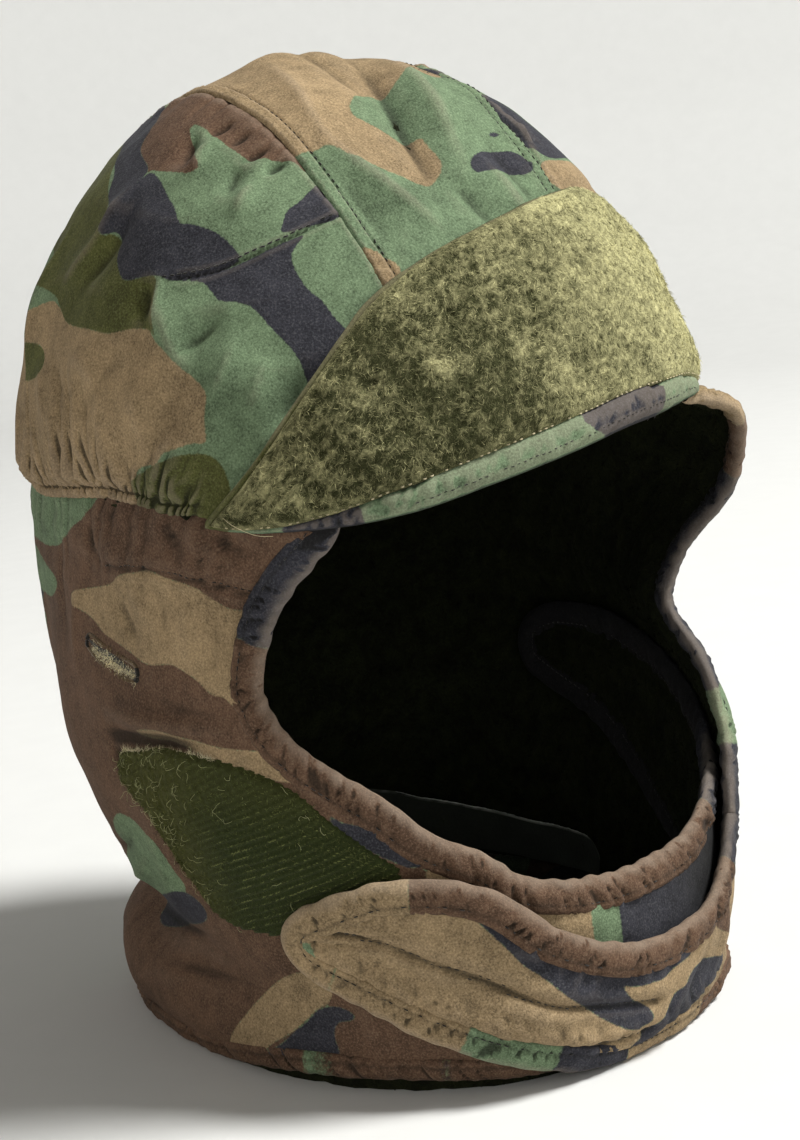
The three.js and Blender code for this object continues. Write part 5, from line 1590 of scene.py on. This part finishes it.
def drop_loose(piece):
    """Take out points that no face uses."""
    mesh = piece.data
    used = np.zeros(len(mesh.vertices), bool)
    corners = np.empty(len(mesh.loops), int)
    mesh.loops.foreach_get("vertex_index", corners)
    used[corners] = True
    if used.all():
        return
    body = bmesh.new()
    body.from_mesh(mesh)
    body.verts.ensure_lookup_table()
    bmesh.ops.delete(body, geom=[body.verts[int(i)] for i in np.nonzero(~used)[0]], context="VERTS")
    body.to_mesh(mesh)
    body.free()


def edge_line(right):
    """The free edge of a half, from the face to the back: theta, height, and 1 where it is hem."""
    under, over = np.linspace(*FLAP_ENDS["right"], 190), np.linspace(*FLAP_ENDS["left"], 120)
    if right:
        z = np.linspace(172, 68, 90)
        back, hem = np.linspace(111, -26, 190), np.linspace(-26, -180.1, 200)[1:]
        parts = [
            (-face_edge(z), z, 0), (under[1:], under_top(under[1:]), 0),
            (np.full(6, 111.0), np.linspace(78, 71, 8)[1:-1], 0),
            (back, flap_bottom(back, True), 1 - smooth(back, 4, 30)),
        ]
    else:
        rows = np.linspace(167.2, 50, 100)
        theta = left_front(rows)
        back, hem = np.linspace(-52, 32, 120), np.linspace(32, 180.1, 190)[1:]
        parts = [
            (theta, rows + hem_height(theta) * fall(rows - HEM_MARGIN, -20, 62), 0),
            (over[1:], over_top(over[1:]), 0), (np.full(4, -52.0), np.linspace(55.5, 50.5, 6)[1:-1], 0),
            (back, flap_bottom(back, False), smooth(back, -20, 0)),
        ]
    parts.append((hem, hem_height(hem) + HEM_MARGIN, 1))
    return [np.concatenate([np.broadcast_to(part[k], part[0].shape) for part in parts]) for k in range(3)]


def soften(values, steps):
    """Each row of numbers averaged with its neighbours."""
    kernel = np.hanning(2 * steps + 3)[1:-1]
    kernel /= kernel.sum()
    padded = np.pad(values, ((steps, steps), (0, 0)), mode="edge")
    return np.stack([np.convolve(padded[:, k], kernel, mode="valid") for k in range(values.shape[1])], 1)


class LINERCAP_OT_tapes(PieceOperator, bpy.types.Operator):
    """Bind the face edge, the flaps and the hem with puckered tape"""

    bl_idname = "liner_cap.tapes"
    bl_label = "Edge Tapes"

    def execute(self, context):
        sizes, _ = self.settings(context)
        for side, blots, seed in (("right", TAPE_RIGHT_BLOTS, 161), ("left", TAPE_LEFT_BLOTS, 171)):
            self.bind(side, blots, seed, sizes)
        return {"FINISHED"}

    def bind(self, side, blots, seed, sizes):
        right = side == "right"
        theta, z, hem = edge_line(right)
        middle, facing = wall_spot(theta, z, right)
        lengths = np.linalg.norm(np.diff(middle, axis=0), axis=1)
        walked = np.concatenate([[0], np.cumsum(lengths)])
        at = np.arange(0, walked[-1], 0.9)
        rows = np.column_stack([middle, facing, hem, theta, z])
        rows = np.stack([np.interp(at, walked, rows[:, k]) for k in range(rows.shape[1])], 1)
        rows = soften(rows, 4)
        middle, facing = rows[:, :3], unit(rows[:, 3:6])
        outward = unit(np.cross(facing, unit(np.gradient(middle, axis=0)))) * (1 if right else -1)
        width = mix(sizes.tape_width / MM, HEM_TAPE_WIDTH, np.clip(rows[:, 6], 0, 1)) / TAPE_WIDTH
        across, half = np.array(TAPE_PROFILE).T
        reach = np.maximum(across, 0)[None] * width[:, None] + np.minimum(across, 0)[None]
        s = at[:, None] + np.abs(reach) * 0.75 * np.sign(half)[None]
        swell = ruffle(s, 5.2, seed, 0.5)
        round_noise = waves(np.stack([s, reach, half[None] + 0 * s], -1), 4.2, seed + 1)
        free = smooth(np.abs(reach), 1.2, 4.0)
        # The puckers start at the stitches and run out before the fold.
        straight = np.stack([at, 0 * at, 0 * at], -1)
        uneven = np.clip(0.8 + 0.7 * waves(straight, 17, seed + 3), 0.25, 1.5)[:, None]
        sewn_side = fall(np.abs(reach), 2.2, 7.0)
        fat = 1 + 0.75 * (swell - 0.55) * sewn_side * uneven + 0.14 * round_noise * free
        stretch = 1 + 0.05 * waves(straight, 7, seed + 2)[:, None] * free
        points = (middle[:, None] + outward[:, None] * (reach * stretch)[..., None]
                  + facing[:, None] * (half[None] * fat * (0.9 + 0.1 * width[:, None]))[..., None])
        number = np.arange(reach.size).reshape(reach.shape)
        after = np.roll(number, -1, 1)
        faces = np.stack([number[:-1], after[:-1], after[1:], number[1:]], -1).reshape(-1, 4)
        if right:
            faces = faces[:, ::-1]
        around, up = rows[:, 7:8], rows[:, 8:9]
        u, v = around * DEGREE_MM + 0 * reach, up + 0 * reach
        prints = camouflage(points, u, v, blots, seed + 5, (DEGREE_MM, 1))
        # Puckers and the stitched groove get painted shade, and the fold edge is rubbed pale with a painted
        # highlight.
        pucker = smooth(1 - swell, 0.3 + 0.085 * np.abs(reach), 1.0) * smooth(np.abs(reach), 0.8, 1.6)
        tape_wear_and_shade = 0.12 * round_noise + 0.5 * smooth(reach, 4, 7.4) - 1.35 * pucker * uneven
        tape_wear_and_shade -= 0.5 * bell(reach - 0.6, 0.6)
        # Inside the cap and along the under flap the tape is darkened with painted shade.
        inner = (half < 0)[None] * smooth(np.abs(around), 50, 64) * fall(up, 30, 40)
        flap = smooth(around, 40, 54) if right else 0 * around
        tape_wear_and_shade -= 1.3 * np.maximum(inner, flap)
        piece = make_piece(f"edge_tape_cloth_{side}", points, faces, tape_material(),
                           "bias_tape", (f"edge_tape_{side}",), print_values(prints, tape_wear_and_shade))
        lines = []
        sewn = rows[:, 6] < 0.6
        for level in (1, -1):
            kept = sewn if right or level < 0 else np.ones(len(sewn), bool)
            lines.append(((middle + outward * 0.75 + facing * level * 1.8)[kept], facing[kept] * level))
        self.sew(side, lines, sizes)

    def sew(self, side, lines, sizes):
        rows = []
        pitch = sizes.stitch / MM
        for line, facing in lines:
            places, ways = even_steps(line, pitch)
            walked = np.concatenate([[0], np.cumsum(np.linalg.norm(np.diff(line, axis=0), axis=1))])
            at = np.arange(pitch / 2, walked[-1], pitch)
            normals = unit(np.stack([np.interp(at, walked, facing[:, k]) for k in range(3)], 1))
            rows.append(stitches(places, normals, ways, pitch * 0.7, 0.4, 0.25))
        make_piece(f"tape_stitch_{side}", *joined(rows), dark_thread(), "thread")


class LINERCAP_OT_linings(PieceOperator, bpy.types.Operator):
    """Line the crown, the neck wall and the flaps with dark wool pile"""

    bl_idname = "liner_cap.linings"
    bl_label = "Pile Linings"

    def execute(self, context):
        sizes, colours = self.settings(context)
        wool = wool_pile("Wool pile lining, dark", colours.lining_dark, colours.lining_light, False, 0.15)
        strand = wool_pile("Wool lining strands", colours.lining_dark, colours.lining_light, True, 0.15)
        self.crown(sizes, wool, strand)
        for side in ("right", "left"):
            self.wall(side, sizes, wool, strand)
        return {"FINISHED"}

    def crown(self, sizes, wool, strand):
        theta, up = np.meshgrid(np.linspace(-180, 180, 150), np.linspace(0, 1, 62), indexing="ij")
        start = np.where(np.abs(theta) < 62, front_rise(theta) + 0.3, -1.5) + temple_lift(theta) / 1.7
        elevation = mix(start, 89.7, up)
        points = crown_point(head_direction(theta, elevation), -LINING_DEPTH)
        points[-1] = points[0]
        height = 0.7 * waves(points, 5, 181) + 0.5 * waves(points, 15, 182)
        inward = unit(CROWN_CENTRE - points)
        sheet = Sheet(points + inward * height[..., None], inward, theta, elevation)
        # The tone is lighter on the bumps and darker in the dips: painted light and shade.
        piece = make_piece("crown_pile_lining", sheet.points, sheet.faces(), wool, "lining_pile",
                           ("crown_lining",), {"tone": 0.35 + 0.25 * height})
        self.strands("crown_lining_strands", sheet, sizes, strand, 183)

    def wall(self, side, sizes, wool, strand):
        right = side == "right"
        theta, z, rows, present = wall_spots(3.0, side)
        if right:
            # It hangs down to the floor behind the raised hem, so that no light shows under it.
            rise = hem_rise(theta)
            raised = smooth(rise, 0, 0.6) * (theta < 0)
            z = z - (rise + HEM_MARGIN + 0.8) * raised * fall(rows - HEM_MARGIN, 0, 12)
            low = raised * fall(rows - HEM_MARGIN, 0, 7)
        middle, facing = wall_spot(theta, z, right)
        from_edge = self.edge_distance(theta, z, right)
        depth = 1.5 + 2.1 * smooth(from_edge, 0, 9)
        in_flap = (theta > -24) if right else (theta < 30)
        depth = np.where(in_flap, np.minimum(depth, 2.9), depth)
        if right:
            depth = mix(depth, -0.8, low)
        points = middle - facing * depth[..., None]
        height = (0.6 * waves(points, 5, 191) + 0.45 * waves(points, 15, 192)) * smooth(from_edge, 0, 8)
        points = points - facing * height[..., None] * np.where(in_flap, 0.4, 1)[..., None]
        sheet = Sheet(points, -facing, theta, z, present)
        # The tone is lighter on the bumps and darker in the dips: painted light and shade.
        piece = make_piece(f"neck_pile_lining_{side}", sheet.points, sheet.faces(), wool,
                           "lining_pile", (f"neck_lining_{side}",), {"tone": 0.35 + 0.25 * height})
        drop_loose(piece)
        self.strands(f"neck_lining_strands_{side}", sheet, sizes, strand, 193)

    @staticmethod
    def edge_distance(theta, z, right):
        edge_theta, edge_z, _ = edge_line(right)
        best = np.full(theta.shape, 1e9)
        for a, b in zip(edge_theta[::3] * DEGREE_MM, edge_z[::3]):
            best = np.minimum(best, np.hypot(theta * DEGREE_MM - a, z - b))
        return best

    def strands(self, name, sheet, sizes, material, seed):
        rng, count = np.random.default_rng(seed), LINING_STRANDS
        places, normals, _ = sheet.scattered(count, rng)
        swirl = np.stack([waves(places, 15, seed + k) for k in (1, 2, 3)], 1)
        lengths = sizes.lining_wool / MM * rng.uniform(0.5, 1.1, count)
        flow = np.array([0, 0, -0.6]) + swirl
        points, faces, tall = ribbon_strands(places, normals, lengths, 0.42, 0.55, 0.6, rng, flow, 0.9)
        # Each strand darkens towards its root: painted shade deep in the pile.
        tone = np.repeat(rng.uniform(0.2, 0.75, count), 5) * (0.4 + 0.7 * tall)
        make_piece(name, points, faces, material, "lining_pile", values={"tone": tone})


class LINERCAP_OT_trim(PieceOperator, bpy.types.Operator):
    """Add the loop patch, the neck label, the buttonhole and the loose threads"""

    bl_idname = "liner_cap.trim"
    bl_label = "Patch, Label and Threads"

    def execute(self, context):
        sizes, colours = self.settings(context)
        self.patch(sizes, colours)
        self.label(colours)
        self.buttonhole()
        self.loose_threads()
        return {"FINISHED"}

    def patch(self, sizes, colours):
        a, b = np.meshgrid(np.linspace(*PATCH_ENDS, 170), np.linspace(0, 1, 100), indexing="ij")
        z = mix(patch_bottom(a), patch_top(a), b)
        middle, facing = wall_spot(a, z, True)
        points = middle + facing * (HALF_CLOTH + 0.9)
        u = a * DEGREE_MM
        turn = math.radians(RIB_TILT)
        across = -(u - u.mean()) * math.sin(turn) + z * math.cos(turn)
        along = (u - u.mean()) * math.cos(turn) + z * math.sin(turn)
        rib = sizes.rib / MM
        across = across + 0.5 * waves(points, 30, 201)
        crest = 0.5 + 0.5 * np.cos(2 * np.pi * across / rib)
        dots = 0.5 + 0.5 * np.cos(2 * np.pi * along / LOOP_PITCH + np.floor(across / rib) * 2.1)
        edge = np.minimum(np.minimum(z - patch_bottom(a), patch_top(a) - z),
                          np.minimum(a - PATCH_ENDS[0], PATCH_ENDS[1] - a) * 1.6)
        clear = smooth(a, -80, -62) * (0.6 + 0.4 * smooth(z, 100, 80))
        height = (0.75 * crest * (0.35 + 0.65 * clear) + 0.3 * waves(points, 2.4, 202) * (1.2 - clear)
                  + 0.3 * waves(points, 20, 203))
        height -= 1.3 * fall(edge, 0, 1.6)
        sheet = Sheet(points, facing, u, z).raised(height)
        values = {"loops": crest ** 3 * dots * (0.35 + 0.65 * clear) * smooth(edge, 0.5, 2.5),
                  "fuzz": 0.75 * (1 - clear)}
        piece = make_piece("loop_patch_ribs", sheet.points, sheet.faces(), loop_tape(colours),
                           "loop_tape", ("loop_patch",), values)
        rng = np.random.default_rng(204)
        weight = 0.25 + (1 - clear) ** 1.5 * 1.2
        count = PATCH_STRANDS
        places, normals, _ = sheet.scattered(count, rng, weight)
        flow = rng.normal(size=(count, 3))
        lengths = rng.uniform(0.6, 1.9, count)
        strands, faces, tall = ribbon_strands(places, normals, lengths, 0.15, 0.75, 0.6, rng, flow, 1.2)
        shade = np.repeat(np.clip(rng.normal(0.34, 0.22, count), 0, 1), 5) * (0.5 + 0.5 * tall)
        fuzz = wool_pile("Worn nylon loops", colours.patch, colours.patch_thread, True, 0.2)
        make_piece("loop_patch_fuzz", strands, faces, fuzz, "loop_tape", values={"tone": shade})
        self.frays(sheet, rng, clear)

    def frays(self, sheet, rng, clear):
        """Long pale threads pulled out of the loops, and the frayed upper edge."""
        threads = []
        places, normals, _ = sheet.scattered(PATCH_THREADS, rng, (1 - clear) ** 2 + 0.02)
        for place, normal in zip(places, normals):
            way = rng.normal(size=3)
            way -= normal * (way @ normal)
            way /= np.linalg.norm(way)
            line, at = [place - normal * 0.3], place + normal * 0.9
            for _ in range(rng.integers(3, 6)):
                bend = rng.normal(size=3)
                bend -= normal * (bend @ normal)
                way = way + bend * 0.55
                way /= np.linalg.norm(way)
                at = at + way * rng.uniform(0.6, 1.3)
                line.append(at + normal * rng.uniform(-0.2, 0.5))
            line[-1] = line[-1] - normal * 0.4
            threads.append(thread_tube(line, 0.05, 3))
        pulled = plain_cloth("Nylon loops, pulled out", PULLED_LOOPS)
        make_piece("loop_patch_threads", *joined(threads), pulled, "thread")
        # The upper edge is frayed to short beige ends.
        count = PATCH_FRAYS
        theta = rng.uniform(-90, -64, count)
        z = patch_top(theta) + rng.normal(-0.2, 0.35, count)
        places, normals = panels["neck_right"].nearest(wall_surface(theta, z, True, HALF_CLOTH + 0.9))
        flow = np.array([0.9, 0.5, 0.1]) + rng.normal(size=(count, 3)) * 0.5
        lengths = rng.uniform(0.7, 2.0, count)
        strands, faces, tall = ribbon_strands(
            places + normals * 0.7, normals, lengths, 0.16, 0.8, 0.4, rng, flow, 0.8)
        make_piece("loop_patch_frayed_edge", strands, faces, light_thread(), "thread",
                   values={"pale": 0.2 * tall})

    def label(self, colours):
        a, b = np.meshgrid(np.linspace(*LABEL_ENDS, 120), np.linspace(0, 1, 26), indexing="ij")
        z = mix(label_bottom(a), label_top(a), b) + 0.25 * waves(np.stack([a, a * 0, a * 0], -1), 7, 212) * b
        middle, facing = wall_spot(a, z, False)
        points = middle - facing * LABEL_DEPTH
        height = 0.35 * waves(points, 11, 211)
        sheet = Sheet(points, -facing, a, z).raised(height)
        worn_part = 0.2 + 0.8 * bell(a - 120, 17)
        edge = 1.3 * smooth(b, 0.93, 0.975) * worn_part * np.clip(0.8 + 0.7 * waves(points, 4, 213), 0, 1.5)
        cloth = plain_cloth("Plain cotton, woven", colours.label, 0.2)
        piece = make_piece("neck_label_cloth", sheet.points, sheet.faces(), cloth, "label_cloth",
                           ("neck_label",), {"pale": np.clip(edge, 0, 0.9)})
        # Its cut upper edge is frayed pale.
        rng = np.random.default_rng(214)
        kept = (a[:, -1] > 97) & (a[:, -1] < 150)
        line = (sheet.points[:, -1] - facing[:, -1] * 0.2)[kept]
        p, f = thread_tube(line + rng.normal(0, 0.07, line.shape), 0.2, 4)
        pale = plain_cloth("Cotton edge, frayed pale", LABEL_FRAY, 0.45)
        make_piece("neck_label_edge", p, f, pale, "thread")

    def buttonhole(self):
        """A worn strap slit: brown stitches round it, dark ends and frayed pale filling."""
        tilt = math.radians(BUTTONHOLE["tilt"])
        rng = np.random.default_rng(221)
        half, tall = BUTTONHOLE["length"] / 2, BUTTONHOLE["height"] / 2

        def spots(x, y):
            theta = BUTTONHOLE["theta"] + (x * math.cos(tilt) - y * math.sin(tilt)) / PEAK_DEGREE_MM
            z = BUTTONHOLE["z"] + x * math.sin(tilt) + y * math.cos(tilt)
            return panels["neck_right"].nearest(wall_surface(theta, z, True, HALF_CLOTH))

        # The slit gapes a little: a dark strip laid on the cloth is painted shade in the gap.
        x, y = np.meshgrid(np.linspace(-1, 1, 40), np.linspace(-1, 1, 4), indexing="ij")
        bow = 0.5 + 0.25 * np.sin(5 * x + 1)
        places, normals = spots((x * (half - 1.2)).ravel(), (y * 0.9 * (1 - x * x) ** 0.5 + bow).ravel())
        slit = Sheet((places + normals * 0.12).reshape(*x.shape, 3), normals.reshape(*x.shape, 3), x, y)
        make_piece("buttonhole_slit", slit.points, slit.faces(), dark_thread(), "thread")
        turns = np.linspace(0, 2 * np.pi, HOLE_STITCHES, endpoint=False) + rng.normal(0, 0.012, HOLE_STITCHES)
        ring_x, ring_y = (np.sign(c) * np.abs(c) ** 0.6 for c in (np.cos(turns), np.sin(turns)))
        ring_y = ring_y * (1 + 0.16 * np.sin(3 * turns))
        inner, _ = spots(ring_x * (half - 1.3), ring_y * (tall - 0.9))
        outer, _ = spots(ring_x * half, ring_y * tall)
        ways = unit(outer - inner)
        places, normals = panels["neck_right"].nearest((inner + outer) / 2)
        ends = np.abs(ring_x) > 0.93
        long = rng.uniform(1.3, 2.2, (HOLE_STITCHES, 1))
        bars = stitches(places[ends], normals[ends], ways[ends], long[ends], 0.7, 0.7)
        make_piece("buttonhole_stitches", *bars, dark_thread(), "thread", ("buttonhole",))
        brown = plain_cloth("Cotton thread, brown", BROWN_THREAD)
        bead = stitches(places[~ends], normals[~ends], ways[~ends], long[~ends], 0.75, 0.45)
        make_piece("buttonhole_bead", *bead, brown, "thread")
        count = HOLE_STRANDS
        x = rng.uniform(-0.8, 1, count)
        y = -0.25 + rng.normal(0, 0.36, count)
        places, normals = spots(x * (half - 1.4), np.clip(y, -0.95, 0.7) * (tall - 0.5))
        flow = rng.normal(size=(count, 3))
        lengths = rng.uniform(0.5, 1.9, count)
        strands, faces, rise = ribbon_strands(places, normals, lengths, 0.24, 0.6, 0.6, rng, flow, 1.4)
        cream = plain_cloth("Cotton fraying, cream", CREAM_FRAY, 0.4)
        tint = np.repeat(rng.uniform(0, 0.8, count), 5) * rise
        make_piece("buttonhole_fraying", strands, faces, cream, "thread", values={"pale": tint})

    def loose_threads(self):
        """Single threads that hang from both ends of the peak."""
        threads = [thread_tube([crown_point(head_direction(t, e), out) for t, e, out in line], 0.08)
                   for line in LOOSE_THREADS]
        make_piece("loose_threads", *joined(threads), light_thread(), "thread")


class LINERCAP_OT_stage(PieceOperator, bpy.types.Operator):
    """Set up the pale floor, the soft lights and the camera"""

    bl_idname = "liner_cap.stage"
    bl_label = "Stage"

    def execute(self, context):
        camera = self.camera(context)
        self.floor(context)
        self.lights(context, camera)
        return {"FINISHED"}

    def camera(self, context):
        a, e, r = (math.radians(CAMERA[key]) for key in ("around", "up", "roll"))
        back = np.array([math.sin(a) * math.cos(e), -math.cos(a) * math.cos(e), math.sin(e)])
        right = np.array([math.cos(a), math.sin(a), 0])
        up = np.cross(back, right)
        right, up = right * math.cos(r) - up * math.sin(r), right * math.sin(r) + up * math.cos(r)
        place = to_frame(np.array(CAMERA["target"]) + back * CAMERA["distance"])
        axes = TURN @ np.stack([right, up, back], 1)
        data = bpy.data.cameras.new("camera")
        data.lens = CAMERA["lens"]
        data.sensor_width = CAMERA["sensor"]
        data.clip_start = 0.01
        camera = bpy.data.objects.new("camera", data)
        turn = Matrix(axes.tolist()).to_4x4()
        camera.matrix_world = Matrix.Translation(Vector(place)) @ turn
        context.scene.collection.objects.link(camera)
        context.scene.camera = camera
        return camera

    def floor(self, context):
        """A pale floor that curves up into a round backdrop far behind."""
        material, tree, place = new_material("Matt paper, white")
        grain = add(tree, "TexNoise", {"Scale": 40.0, "Detail": 3.0}, Vector=place)
        value = add(tree, "MapRange", {"To Min": 0.97, "To Max": 1.03}, Value=grain)
        colour = add(tree, "HueSaturation", {"Color": rgba(PAPER)}, Value=value)
        bump = add(tree, "Bump", {"Strength": 0.03, "Distance": 0.001}, Height=grain)
        finish_material(tree, colour, bump, 0.9, sheen=0.0, specular=0.1)
        points, faces = [(0.0, 0.0, 0.0)], []
        for radius, height in BACKDROP:
            for k in range(BACKDROP_SIDES):
                angle = 2 * math.pi * k / BACKDROP_SIDES
                points.append((radius * math.cos(angle), radius * math.sin(angle), height))
        for k in range(BACKDROP_SIDES):
            m = (k + 1) % BACKDROP_SIDES
            faces.append((0, 1 + k, 1 + m))
            for ring in range(len(BACKDROP) - 1):
                a, b = 1 + ring * BACKDROP_SIDES, 1 + (ring + 1) * BACKDROP_SIDES
                faces.append((a + k, b + k, b + m, a + m))
        mesh = bpy.data.meshes.new("floor")
        mesh.from_pydata(points, [], faces)
        mesh.shade_smooth()
        mesh.materials.append(material)
        floor = bpy.data.objects.new("floor", mesh)
        context.scene.collection.objects.link(floor)

    def lights(self, context, camera):
        """A soft key high on the right of the camera, and a weak warm fill on its left."""
        world = bpy.data.worlds.new("studio")
        world.use_nodes = True
        background = world.node_tree.nodes["Background"]
        background.inputs[0].default_value = AMBIENT_TINT
        background.inputs[1].default_value = AMBIENT
        context.scene.world = world
        context.scene.view_settings.view_transform = "Standard"
        turn = camera.matrix_world.to_3x3()
        aim = Vector(LIGHT_AIM)
        for name, way, size, power, tint in LIGHTS:
            data = bpy.data.lights.new(name, "AREA")
            data.shape = "DISK"
            data.size = size
            data.energy = power
            data.color = tint
            lamp = bpy.data.objects.new(name, data)
            place = aim + turn @ Vector(way)
            lamp.location = place
            lamp.rotation_euler = (place - aim).to_track_quat("Z", "Y").to_euler()
            context.scene.collection.objects.link(lamp)


class LINERCAP_PT_panel(bpy.types.Panel):
    """Buttons for the pieces of the cap, with their sizes and colours"""

    bl_idname = "LINERCAP_PT_panel"
    bl_label = "Helmet Liner Cap"
    bl_space_type = "VIEW_3D"
    bl_region_type = "UI"
    bl_category = "Liner Cap"

    def draw(self, context):
        layout = self.layout
        for operator in OPERATORS:
            layout.operator(operator.bl_idname)
        for group in (context.scene.liner_cap_sizes, context.scene.liner_cap_colours):
            box = layout.box()
            for key in group.__annotations__:
                box.prop(group, key)


OPERATORS = (
    LINERCAP_OT_stage, LINERCAP_OT_crown, LINERCAP_OT_peak, LINERCAP_OT_neck, LINERCAP_OT_tapes,
    LINERCAP_OT_linings, LINERCAP_OT_trim,
)
CLASSES = (LinerCapSizes, LinerCapColours, *OPERATORS, LINERCAP_PT_panel)


def register():
    for cls in CLASSES:
        bpy.utils.register_class(cls)
    bpy.types.Scene.liner_cap_sizes = bpy.props.PointerProperty(type=LinerCapSizes)
    bpy.types.Scene.liner_cap_colours = bpy.props.PointerProperty(type=LinerCapColours)


def unregister():
    del bpy.types.Scene.liner_cap_colours
    del bpy.types.Scene.liner_cap_sizes
    for cls in reversed(CLASSES):
        bpy.utils.unregister_class(cls)


def main():
    register()
    bpy.ops.liner_cap.stage()
    bpy.ops.liner_cap.crown()
    bpy.ops.liner_cap.peak()
    bpy.ops.liner_cap.neck()
    bpy.ops.liner_cap.tapes()
    bpy.ops.liner_cap.linings()
    bpy.ops.liner_cap.trim()


if __name__ == "__main__":
    main()
